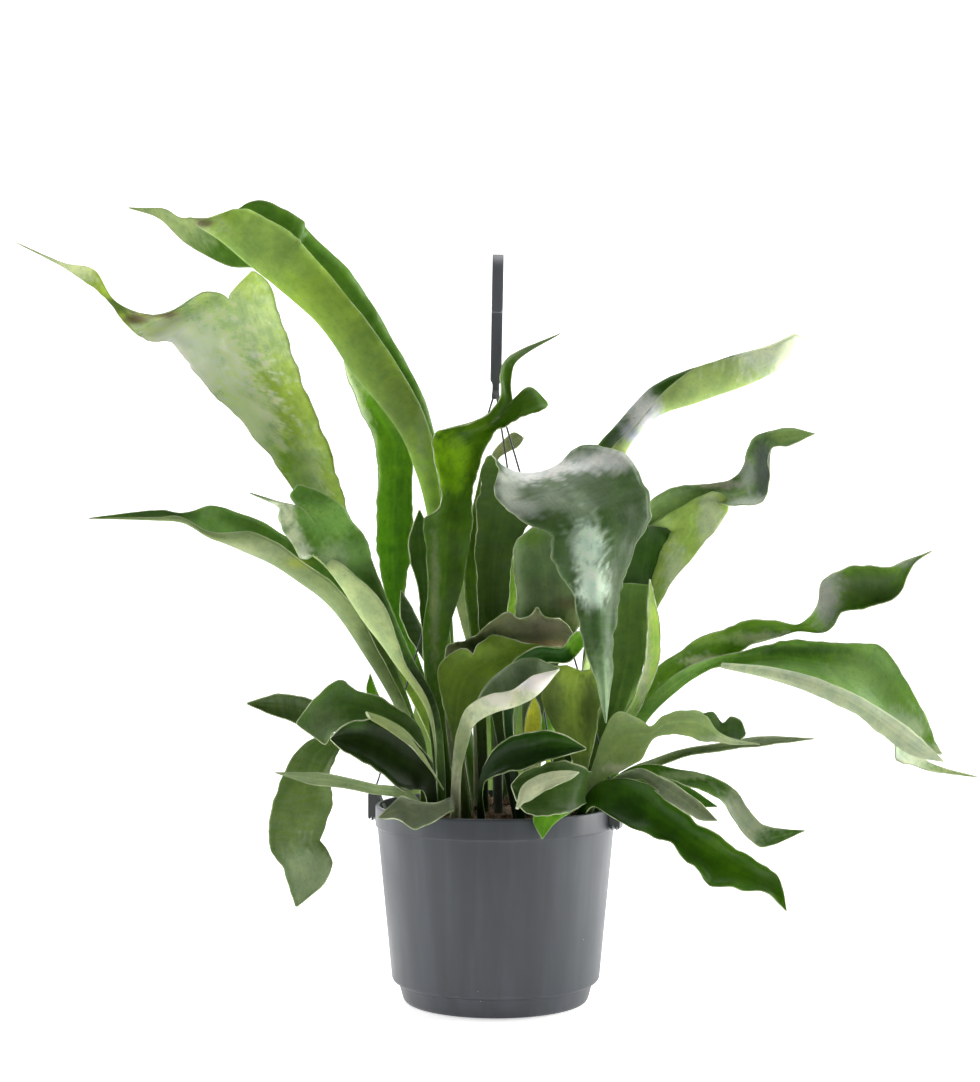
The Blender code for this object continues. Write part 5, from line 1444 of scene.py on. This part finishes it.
# %% Folded margins
FOLDS = {
    "leaf_low_front": ((0.36, 0.42, 0.26), [
        ((15, 134), (16, 136), (17, 138), (-97, -98, -97)),
        ((18, 149), (21, 146), (24, 140), (-96, -98, -96)),
        ((28, 157), (30, 151), (30, 144), (-92, -95, -95)),
        ((42, 161), (42, 156), (41, 150), (-88, -91, -93)),
        ((52, 161), (53, 158), (53, 155), (-84, -87, -88)),
    ], (59, 160, -82)),
    "frond_left_front": ((0.27, 0.36, 0.13), [
        ((-92, 203), (-90, 200), (-88, 197), (-64, -66, -66)),
        ((-77, 198), (-76, 194), (-75, 189), (-60, -63, -64)),
        ((-63, 188), (-61, 183), (-59, 177), (-56, -59, -61)),
        ((-51, 173), (-49, 168), (-47, 163), (-50, -53, -56)),
        ((-43, 158), (-41, 155), (-39, 152), (-48, -50, -52)),
    ], (-37, 148, -50)),
    "frond_right_ruffled": ((0.055, 0.125, 0.016), [
        ((147, 202), (147, 199), (147, 196), (-42, -43, -44)),
        ((154, 203), (154, 196), (154, 188), (-40, -42, -44)),
        ((161, 195), (161, 190), (161, 184), (-41, -43, -46)),
        ((167, 200), (167, 192), (167, 182), (-42, -44, -48)),
        ((174, 196), (173, 190), (172, 182), (-44, -46, -50)),
    ], (177, 187, -48)),
    "frond_far_right": ((0.46, 0.55, 0.38), [
        ((161, 237), (160, 236), (160, 234), (-28, -29, -29)),
        ((193, 235), (192, 231), (191, 227), (-40, -43, -42)),
        ((229, 226), (227, 221), (225, 216), (-52, -56, -54)),
        ((259, 213), (256, 208), (253, 203), (-58, -62, -60)),
        ((284, 197), (279, 192), (274, 187), (-60, -64, -62)),
        ((303, 181), (300, 176), (296, 172), (-61, -64, -63)),
    ], (317, 168, -63)),
}


def make_fold(node, tone, rows, tip):
    """A folded-over margin, in the one colour of the side of the blade that it shows."""
    bm = bmesh.new()
    add_layers(bm)
    places = [section(row) for row in rows]
    length = blade_grid(bm, places + [tip_section(tip, places[-1], 0.1)], 12)
    finish = {**LOOKS[slot_of[node]], "upper": tone, "under": tone, "channel": 0.0,
              "ragged": 2.0}
    fold = finish_sheet(node + "_fold", bm, length, finish, bright_base=True)
    return extra_piece(fold, slot_of[node], felted_skin, felted_skin, rim_skin)


for node, (tone, rows, tip) in FOLDS.items():
    make_fold(node, tone, rows, tip)
print(len(FOLDS), "folded margins")


# %% [markdown]
# ## The pot
# The pot is injection-moulded polypropylene: a thin tapered wall, a straight band under the lip
# that stiffens the rim, and a foot that steps in so that pots can stack. It is round, so half
# its section is drawn once, its corners are softened, and spin turns it about the Z axis. The
# drain holes and the slots for the hanger's clips are cut afterwards with booleans.

# %% Turned shapes
def soften(points, reach, steps=4):
    """Rounds the inner corners of an outline, cutting each back by at most `reach`."""
    out = [Vector(points[0])]
    for before, corner, after in zip(points, points[1:], points[2:]):
        before, corner, after = Vector(before), Vector(corner), Vector(after)
        back = min(reach, (before - corner).length * 0.45)
        on = min(reach, (after - corner).length * 0.45)
        start = corner + (before - corner).normalized() * back
        end = corner + (after - corner).normalized() * on
        for i in range(steps + 1):
            t = i / steps
            out.append(start * (1 - t) ** 2 + corner * 2 * t * (1 - t) + end * t ** 2)
    return out + [Vector(points[-1])]


def turned_bmesh(profile, steps):
    """Turns an outline of (radius, z) in millimetres about Z into a closed shell."""
    bm = bmesh.new()
    chain = [bm.verts.new((point[0] * MM, 0.0, point[1] * MM)) for point in profile]
    links = [bm.edges.new(pair) for pair in zip(chain, chain[1:])]
    bmesh.ops.spin(bm, geom=chain + links, cent=(0, 0, 0), axis=(0, 0, 1),
                   angle=2 * math.pi, steps=steps, use_merge=True)
    bmesh.ops.remove_doubles(bm, verts=bm.verts, dist=0.003 * MM)
    bmesh.ops.recalc_face_normals(bm, faces=bm.faces)
    return bm


_, pot_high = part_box("hanging_pot")
RIM_RADIUS, POT_HEIGHT = pot_high.x / MM, pot_high.z / MM
BAND = 14.5              # height of the straight band under the lip
STEP_Z = 15.7            # where the foot steps in
FOOT_RADIUS, BODY_RADIUS = 73.3, 83.8
print(f"pot {2 * RIM_RADIUS:.0f} mm across and {POT_HEIGHT:.0f} mm tall")


# %% The pot's section
def body_radius(z):
    """Outside radius of the tapered body at a height."""
    share = (z - STEP_Z) / (POT_HEIGHT - BAND - STEP_Z)
    return FOOT_RADIUS + (BODY_RADIUS - FOOT_RADIUS) * share


band_z = POT_HEIGHT - BAND
pot_outline = [
    (0, 2), (61, 2), (63.4, 3.2), (66.6, 13.6), (71.6, 17.4), (82.3, band_z), (82.4, 126),
    (82.4, 136.6), (82.1, POT_HEIGHT), (84.4, POT_HEIGHT), (RIM_RADIUS, 136.9),
    (RIM_RADIUS, band_z + 0.3), (84.5, band_z - 0.2), (83.8, band_z - 0.3),
    (83.5, band_z - 2.5), (body_radius(17.2), 17.2), (72.6, 15.2), (68.9, 13.4),
    (68.4, 12.2), (68.1, 11.0), (67.9, 10.8), (65.6, 2.6), (64.4, 0.5), (62.8, 0.0), (0, 0),
]
pot_bm = turned_bmesh(soften(pot_outline, 0.8), 144)
pot = new_object("pot_shell", pot_bm)
print("pot section of", len(pot_outline), "corners,", len(pot.data.polygons), "faces")


# %% Drain holes and clip slots
def cut_away(obj, cutters):
    """Subtracts the cutters for good and removes them."""
    for cutter in cutters:
        boolean = obj.modifiers.new("Cut", "BOOLEAN")
        boolean.operation = "DIFFERENCE"
        boolean.object = cutter
    evaluated = obj.evaluated_get(bpy.context.evaluated_depsgraph_get())
    obj.data = bpy.data.meshes.new_from_object(evaluated)
    obj.modifiers.clear()
    for cutter in cutters:
        bpy.data.objects.remove(cutter)


HANGER_TURNS = {"left": 168.0, "front_right": -20.0, "back": 60.0}
DRAIN_HOLES, DRAIN_RADIUS = 8, 4 * MM
DRAIN_PLACE = Matrix.Translation((0.048, 0, 0.001))
SLOT = Matrix.Translation((0.085, 0, 0.130)) @ Matrix.Diagonal((0.012, 0.0088, 0.0036, 1.0))
tools = []
for i in range(DRAIN_HOLES):
    bm = bmesh.new()
    turn = Matrix.Rotation(2 * math.pi * (i + 0.5) / DRAIN_HOLES, 4, "Z")
    bmesh.ops.create_cone(bm, cap_ends=True, segments=32, radius1=DRAIN_RADIUS,
                          radius2=DRAIN_RADIUS, depth=8 * MM, matrix=turn @ DRAIN_PLACE)
    tools.append(new_object("drain_cutter", bm))
for turn in HANGER_TURNS.values():
    bm = bmesh.new()
    bmesh.ops.create_cube(bm, size=1.0,
                          matrix=Matrix.Rotation(math.radians(turn), 4, "Z") @ SLOT)
    tools.append(new_object("slot_cutter", bm))
cut_away(pot, tools)
pot.data.shade_smooth()
pot.data.set_sharp_from_angle(angle=math.radians(32))
print("pot cut:", len(pot.data.polygons), "faces")

# %% [markdown]
# The plastic is a satin slate grey. Its gloss varies a little where it flowed up the mould, and
# it has picked up a few grains of dust. The flow lines are noise that is stretched along Z, and
# the dust is the centres of Voronoi cells.

# %% Moulded plastic
def plastic(name, colour, rough, grain=0.00006, dust=0.0):
    material, skin, place = new_material(name)
    tree = material.node_tree
    flow = noise_on(material, place, 1.0, (55.0, 55.0, 2.5), detail=3.0)
    cloud = noise_on(material, place, 14.0, detail=3.0)
    fine = noise_on(material, place, 1500.0, detail=2.0)
    pale = tuple(c * 1.28 + 0.002 for c in colour)
    dark = tuple(c * 0.86 for c in colour)
    shade = mix_colours(material, remap(material, flow, 0.35, 0.68), (*dark, 1), (*pale, 1))
    shade = mix_colours(material, remap(material, cloud, 0.35, 0.7, 0.0, 0.4), shade, (*colour, 1))
    if dust:
        cells = add_node(material, "ShaderNodeTexVoronoi", Scale=150.0, Randomness=1.0)
        tree.links.new(place, cells.inputs["Vector"])
        specks = remap(material, cells.outputs["Distance"], 0.035, 0.05, 1.0, 0.0)
        some = remap(material, noise_on(material, place, 60.0), 0.60, 0.64)
        specks = arithmetic(material, "MULTIPLY", specks, some)
        specks = arithmetic(material, "MULTIPLY", specks, dust)
        shade = mix_colours(material, specks, shade, (0.55, 0.50, 0.48, 1.0))
    tree.links.new(shade, skin.inputs["Base Color"])
    tree.links.new(remap(material, cloud, 0.3, 0.7, rough - 0.04, rough + 0.07),
                   skin.inputs["Roughness"])
    relief = arithmetic(material, "ADD", fine, arithmetic(material, "MULTIPLY", flow, 3.0))
    raise_relief(material, relief, skin, 0.5, grain)
    return material


pot_plastic = plastic("slate_pot_plastic", (0.038, 0.043, 0.052), 0.40, dust=0.8)
stands_for(pot, "hanging_pot", pot_plastic)
print("pot finished")


# %% [markdown]
# ## Potting mix and crowns
# Staghorn ferns grow in coarse bark and peat. The surface is a turned disc that noise has made
# lumpy, and chips of bark and a few white grains of perlite lie on it. A chip is a cube with
# random sides, so hundreds of them cost little.

# %% Lumpy surface of the mix
_, soil_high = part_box("potting_mix")
SOIL_TOP = soil_high.z / MM
soil_radius = soil_high.x / MM
RINGS = 46               # on the surface, so that it has points enough to be lumpy
LEVEL = SOIL_TOP - 1.5   # the lumps rise above it and sink below it
soil_outline = ([(0, LEVEL)] + [(soil_radius * i / RINGS, LEVEL) for i in range(1, RINGS - 1)]
                + [(soil_radius - 0.6, SOIL_TOP - 3), (71, 18), (64, 12), (62.5, 2.5), (0, 2.5)])
soil_bm = turned_bmesh(soil_outline, 150)
for vert in soil_bm.verts:
    radius = math.hypot(vert.co.x, vert.co.y) / MM
    if vert.co.z > (SOIL_TOP - 2) * MM and radius < soil_radius - 1.5:
        lumps = noise.noise(vert.co * 90.0) * 2.6 + noise.noise(vert.co * 260.0) * 1.1
        vert.co.z += lumps * MM
soil = new_object("potting_mix_surface", soil_bm)
print("potting mix:", len(soil.data.polygons), "faces")


# %% Bark, crumbs and perlite
def scattered(name, count, sizes, seed, lift=0.0):
    """Random chips on the mix, as one mesh of cubes with their corners pushed about."""
    rand = random.Random(seed)
    bm = bmesh.new()
    for _ in range(count):
        radius = (soil_radius - 5) * math.sqrt(rand.random())
        turn = rand.random() * 2 * math.pi
        spot = Vector((radius * math.cos(turn), radius * math.sin(turn), SOIL_TOP - 0.8 + lift))
        spin_about = Matrix.Rotation(rand.random() * 6.28, 4, "Z") @ Matrix.Rotation(
            rand.uniform(-0.5, 0.5), 4, "X") @ Matrix.Rotation(rand.uniform(-0.4, 0.4), 4, "Y")
        scale = Matrix.Diagonal([rand.uniform(*side) * MM for side in sizes] + [1.0])
        made = bmesh.ops.create_cube(bm, size=1.0,
                                     matrix=Matrix.Translation(spot * MM) @ spin_about @ scale)
        reach = min(side[0] for side in sizes) * MM * 0.35
        for vert in made["verts"]:
            vert.co += Vector([rand.uniform(-1, 1) for _ in range(3)]) * reach
    return new_object(name, bm, smooth=False)


bark = scattered("bark_chips", 620, ((3, 11), (2, 6), (0.9, 2.4)), 11)
crumbs = scattered("peat_crumbs", 900, ((0.8, 2.6), (0.8, 2.2), (0.6, 1.6)), 12, 0.6)
perlite = scattered("perlite_grains", 60, ((1.6, 3.2), (1.5, 3), (1.3, 2.6)), 13, 0.8)
for grains, width in ((bark, 0.35), (crumbs, 0.2), (perlite, 0.4)):
    soften_edges(grains, "Worn edges", width, 1)
print("chips:", len(bark.data.polygons) // 6, "bark,", len(perlite.data.polygons) // 6, "perlite")

# %% [markdown]
# Peat, bark, rhizome and dead fronds are all dull and grainy, so one material maker with two
# colours and one grain serves them all.

# %% Earthy finishes
def earthy(name, dark, pale, scale, height, stretch=(1.0, 1.0, 1.0)):
    material, skin, place = new_material(name)
    tree = material.node_tree
    grain = noise_on(material, place, scale, stretch, detail=6.0, roughness=0.65)
    broad = noise_on(material, place, scale / 6, detail=2.0)
    mixed = arithmetic(material, "MULTIPLY", remap(material, grain, 0.35, 0.7),
                       remap(material, broad, 0.3, 0.7, 0.35, 1.0))
    tree.links.new(mix_colours(material, mixed, (*dark, 1.0), (*pale, 1.0)),
                   skin.inputs["Base Color"])
    skin.inputs["Roughness"].default_value = 0.88
    skin.inputs["Specular IOR Level"].default_value = 0.3
    raise_relief(material, grain, skin, 0.8, height)
    return material


peat = earthy("damp_peat", (0.012, 0.008, 0.005), (0.060, 0.036, 0.020), 420.0, 0.0006)
bark_brown = earthy("bark_brown", (0.030, 0.017, 0.009), (0.150, 0.085, 0.045), 260.0, 0.0005,
                    (1.0, 1.0, 2.5))
perlite_white = earthy("perlite_white", (0.42, 0.40, 0.36), (0.74, 0.72, 0.68), 900.0, 0.0003)
rhizome = earthy("rhizome_brown", (0.030, 0.018, 0.008), (0.120, 0.070, 0.028), 500.0, 0.0007)
papery = earthy("dry_shield_frond", (0.070, 0.040, 0.018), (0.230, 0.150, 0.075), 160.0, 0.0004)
stands_for(soil, "potting_mix", peat)
for grains, material in ((bark, bark_brown), (crumbs, peat), (perlite, perlite_white)):
    extra_piece(grains, "potting_mix", material)
print("potting mix finished")

# %% [markdown]
# ## Crowns
# The fronds grow from low mounds of rhizome. A mound is a lumpy sphere, and its brown scales are
# small five-sided cones that lean outward, far cheaper than hair.

# %% Crowns
MOUND_RISE = 8.5         # half the height of the mound
MOUND_SINK = 7.0         # from the top of the crown's solid down to the mound's middle
SCALES = 420             # those that would point down are left out


def make_crown(node, seed):
    """A mound with scales that point outward."""
    low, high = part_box(node)
    centre = (low + high) / 2
    radius = (high.x - low.x) / 2
    rand = random.Random(seed)
    bm = bmesh.new()
    bmesh.ops.create_uvsphere(bm, u_segments=56, v_segments=28, radius=1.0)
    for vert in bm.verts:
        lumpy = 1.0 + 0.16 * noise.noise(vert.co * 3.1 + Vector((seed, 0, 0)))
        vert.co = Vector((vert.co.x * radius * 0.93 * lumpy, vert.co.y * radius * 0.93 * lumpy,
                          vert.co.z * MOUND_RISE * MM * lumpy))
        vert.co += Vector((centre.x, centre.y, high.z - MOUND_SINK * MM))
    body = list(bm.verts)
    for _ in range(SCALES):
        root = rand.choice(body)
        out = (root.co - Vector((centre.x, centre.y, high.z - 16 * MM))).normalized()
        if out.z < 0.2:
            continue
        side = out.cross(Vector((rand.uniform(-1, 1), rand.uniform(-1, 1), 0.3))).normalized()
        size = rand.uniform(1.8, 4.2) * MM
        lean = out + side.cross(out) * rand.uniform(-0.6, 0.6)
        scale_bm = bmesh.ops.create_cone(bm, cap_ends=True, segments=5, radius1=size * 0.16,
                                         radius2=size * 0.01, depth=size)
        turn = lean.to_track_quat("Z", "Y").to_matrix().to_4x4()
        bmesh.ops.transform(bm, matrix=Matrix.Translation(root.co + lean * size * 0.35) @ turn,
                            verts=scale_bm["verts"])
    crown = new_object(node + "_mound", bm)
    return stands_for(crown, node, rhizome)


for seed, node in enumerate(n for n in sorted(frame["nodes"]) if n.startswith("crown_")):
    make_crown(node, seed + 3)
print("crowns made")

# %% [markdown]
# Dead shield fronds, dry and papery, lie round the crowns. Each is a square grid drawn in to a
# round sheet, raised at the crown and rippled by noise, with Solidify for its thickness.

# %% Shield fronds
SHIELD_RISE, SHIELD_CUP, SHIELD_RIPPLE = 8.0, 5.0, 3.2
SHIELD_THICK = 0.7


def make_shield(name, node, turn, reach, seed):
    """A dry shield frond: a round wavy sheet that leans out over the mix."""
    low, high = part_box(node)
    centre = (low + high) / 2
    bm = bmesh.new()
    bmesh.ops.create_grid(bm, x_segments=26, y_segments=26, size=1.0)
    out = heading(turn)
    sideways = Vector((-out.y, out.x, 0.0))
    for vert in bm.verts:
        a, b = vert.co.x, (vert.co.y + 1) / 2
        # a square sheet drawn in to a round one with a lobed margin
        width = math.sqrt(max(1 - (2 * b - 1) ** 2 * 0.86, 0.02))
        lobed = 1.0 + 0.10 * math.sin(a * 9 + seed) * b
        place = out * (4 + b * reach * lobed) + sideways * (a * reach * 0.62 * width)
        rise = SHIELD_RISE * (1 - b) ** 1.5 + SHIELD_CUP * a * a * (1 - 0.4 * b)
        ripple = noise.noise(Vector((a * 2.4, b * 2.4, seed))) * SHIELD_RIPPLE
        vert.co = Vector((centre.x, centre.y, (SOIL_TOP + 1.5) * MM)) + (
            place + Vector((0, 0, rise + ripple))) * MM
    shield = new_object(name, bm)
    thicken(shield, "Papery", SHIELD_THICK)
    return extra_piece(shield, "fern_crown", papery)


SHIELDS = (("crown_left", 215, 27), ("crown_left", 120, 26), ("crown_right", -35, 27),
           ("crown_right", 60, 25), ("crown_back", 95, 28), ("crown_back", 170, 24),
           ("crown_left", -80, 22), ("crown_right", -110, 20))
for i, (node, turn, reach) in enumerate(SHIELDS):
    make_shield(f"shield_frond_{i + 1}", node, turn, reach, i * 1.7)
print(len(SHIELDS), "shield fronds")


# %% [markdown]
# ## The hanger
# A moulded strap bends over into an open hook, and three wires run from its foot to clips that
# snap over the rim. The strap is a grid laid along its path, with Solidify for its thickness
# and Bevel for its rounded edges, which keeps its width easy to taper.

# %% Hook
HUB_Z = 427.0            # where the wires meet
BEND_RADIUS = 14.0
BEND_UP = 82.5           # from there up to the bend
LIP_UP = 55.5            # and up to the end of the hook
STRAP = 3.0
HOOK_LEAN = Matrix.Translation((0, 0, HUB_Z * MM)) @ Matrix.Rotation(math.radians(1.0), 4, "Y")


def strap_path(t):
    """A point (y, z) on the middle of the strap above the hub at a share of its length."""
    arc = math.pi * BEND_RADIUS
    run = t * (BEND_UP + arc + BEND_UP - LIP_UP)
    if run < BEND_UP:
        return 0.0, run
    if run < BEND_UP + arc:
        angle = (run - BEND_UP) / BEND_RADIUS
        return (-BEND_RADIUS + BEND_RADIUS * math.cos(angle),
                BEND_UP + BEND_RADIUS * math.sin(angle))
    return -2 * BEND_RADIUS, BEND_UP - (run - BEND_UP - arc)


bm = bmesh.new()
grid = bmesh.ops.create_grid(bm, x_segments=2, y_segments=120, size=0.5)
for vert in grid["verts"]:
    t = vert.co.y + 0.5
    y, z = strap_path(t)
    shoulder = smooth_step(8.0, 11.0, z) if t < 0.4 else 1.0
    tongue_end = 1.0 - 0.25 * smooth_step(0.985, 1.0, t)
    width = (5.0 + 3.0 * shoulder) * tongue_end
    vert.co = HOOK_LEAN @ (Vector((vert.co.x * width, y, z)) * MM)
bmesh.ops.recalc_face_normals(bm, faces=bm.faces)
hook = new_object("hook_strap", bm)
thicken(hook, "Strap", STRAP)
soften_edges(hook, "Soft edges", 0.7)
hook_plastic = plastic("hook_plastic", (0.085, 0.092, 0.102), 0.46, 0.00005)
stands_for(hook, "hanger_hook", hook_plastic)
print("hook top at", round(HUB_Z + BEND_UP + BEND_RADIUS + STRAP / 2), "mm")

# %% [markdown]
# A coated wire is straight and taut, with a soft bend where it hooks into its clip. It is a
# curve with a round bevel, made a mesh. A small collar hides where the three meet.

# %% Wires
def tube(name, points, radius, ring=3):
    """A round wire through the points, in millimetres, as a mesh."""
    curve = bpy.data.curves.new(name, "CURVE")
    curve.dimensions = "3D"
    curve.bevel_depth = radius * MM
    curve.bevel_resolution = ring
    curve.use_fill_caps = True
    spline = curve.splines.new("POLY")
    spline.points.add(len(points) - 1)
    for point, co in zip(spline.points, points):
        point.co = (*(Vector(co) * MM), 1.0)
    source = bpy.data.objects.new(name, curve)
    bpy.context.scene.collection.objects.link(source)
    evaluated = source.evaluated_get(bpy.context.evaluated_depsgraph_get())
    bm = bmesh.new()
    bm.from_mesh(bpy.data.meshes.new_from_object(evaluated))
    bmesh.ops.remove_doubles(bm, verts=bm.verts, dist=0.01 * MM)
    bpy.data.objects.remove(source)
    return new_object(name, bm)


wire_finish = plastic("wire_coating", (0.030, 0.032, 0.036), 0.34, 0.00003)
clip_plastic = plastic("clip_plastic", (0.055, 0.059, 0.066), 0.38)
WIRE_RADIUS = 0.68
GROOVE_RADIUS = 88.7     # the wires run down their clips this far from the pot's middle
for place, turn in HANGER_TURNS.items():
    profile = [(0.6, HUB_Z + 2.0), (1.6, HUB_Z - 0.8), (86.2, 152.0), (88.2, 147.0),
               (GROOVE_RADIUS, 143.4), (GROOVE_RADIUS, 127.6)]
    profile = soften(profile, 3.0, 6)
    route = [heading(turn) * point[0] + Vector((0, 0, point[1])) for point in profile]
    stands_for(tube("wire_" + place, route, WIRE_RADIUS), "hanger_wire_" + place, wire_finish)
bm = bmesh.new()
bmesh.ops.create_cone(bm, cap_ends=True, segments=40, radius1=3.0 * MM, radius2=2.5 * MM,
                      depth=6.0 * MM, matrix=Matrix.Translation((0, 0, (HUB_Z + 0.5) * MM)))
bmesh.ops.bevel(bm, geom=bm.edges[:], offset=0.5 * MM, segments=3, profile=0.5,
                affect="EDGES", material=-1)
collar = new_object("hook_collar", bm)
extra_piece(collar, "hook_plastic", hook_plastic)
print("wires from a collar at", HUB_Z, "mm")

# %% [markdown]
# A clip has the same section all along, so its outline is drawn once, filled and extruded, and
# Bevel takes the sharpness off.

# %% Clips
CLIP_WIDTH = 8.0


def make_clip(place, turn):
    """Two prongs with the wire's groove between them, and a barbed tongue through the rim."""
    inner, outer = RIM_RADIUS + 0.4, RIM_RADIUS + 7.6
    left, right = GROOVE_RADIUS - 1.1, GROOVE_RADIUS + 1.1
    outline = [
        (inner, 125.4), (inner + 1.8, 123.6), (outer - 2.4, 123.6), (outer - 0.6, 124.8),
        (outer, 126.6), (outer, 142.9), (outer - 0.6, 143.5), (right + 0.3, 143.5),
        (right, 142.9), (right, 127.2), (left, 127.2), (left, 142.9), (left - 0.3, 143.5),
        (inner, 143.5), (inner, 131.4), (RIM_RADIUS - 4.8, 131.4), (RIM_RADIUS - 5.4, 130.8),
        (RIM_RADIUS - 5.4, 126.4), (RIM_RADIUS - 3.8, 126.4), (RIM_RADIUS - 3.8, 128.6),
        (inner, 128.6),
    ]
    bm = bmesh.new()
    corners = [bm.verts.new((x * MM, CLIP_WIDTH / 2 * MM, z * MM)) for x, z in outline]
    face = bmesh.ops.contextual_create(bm, geom=corners)["faces"]
    side = bmesh.ops.extrude_face_region(bm, geom=face)["geom"]
    moved = [part for part in side if isinstance(part, bmesh.types.BMVert)]
    bmesh.ops.translate(bm, verts=moved, vec=(0, -CLIP_WIDTH * MM, 0))
    bmesh.ops.recalc_face_normals(bm, faces=bm.faces)
    bmesh.ops.rotate(bm, verts=bm.verts, cent=(0, 0, 0),
                     matrix=Matrix.Rotation(math.radians(turn), 3, "Z"))
    clip = new_object("clip_" + place, bm)
    soften_edges(clip, "Soft edges", 0.35)
    clip.data.set_sharp_from_angle(angle=math.radians(40))
    return stands_for(clip, "rim_clip_" + place, clip_plastic)


for place, turn in HANGER_TURNS.items():
    make_clip(place, turn)
print("clips on the rim:", len(HANGER_TURNS))
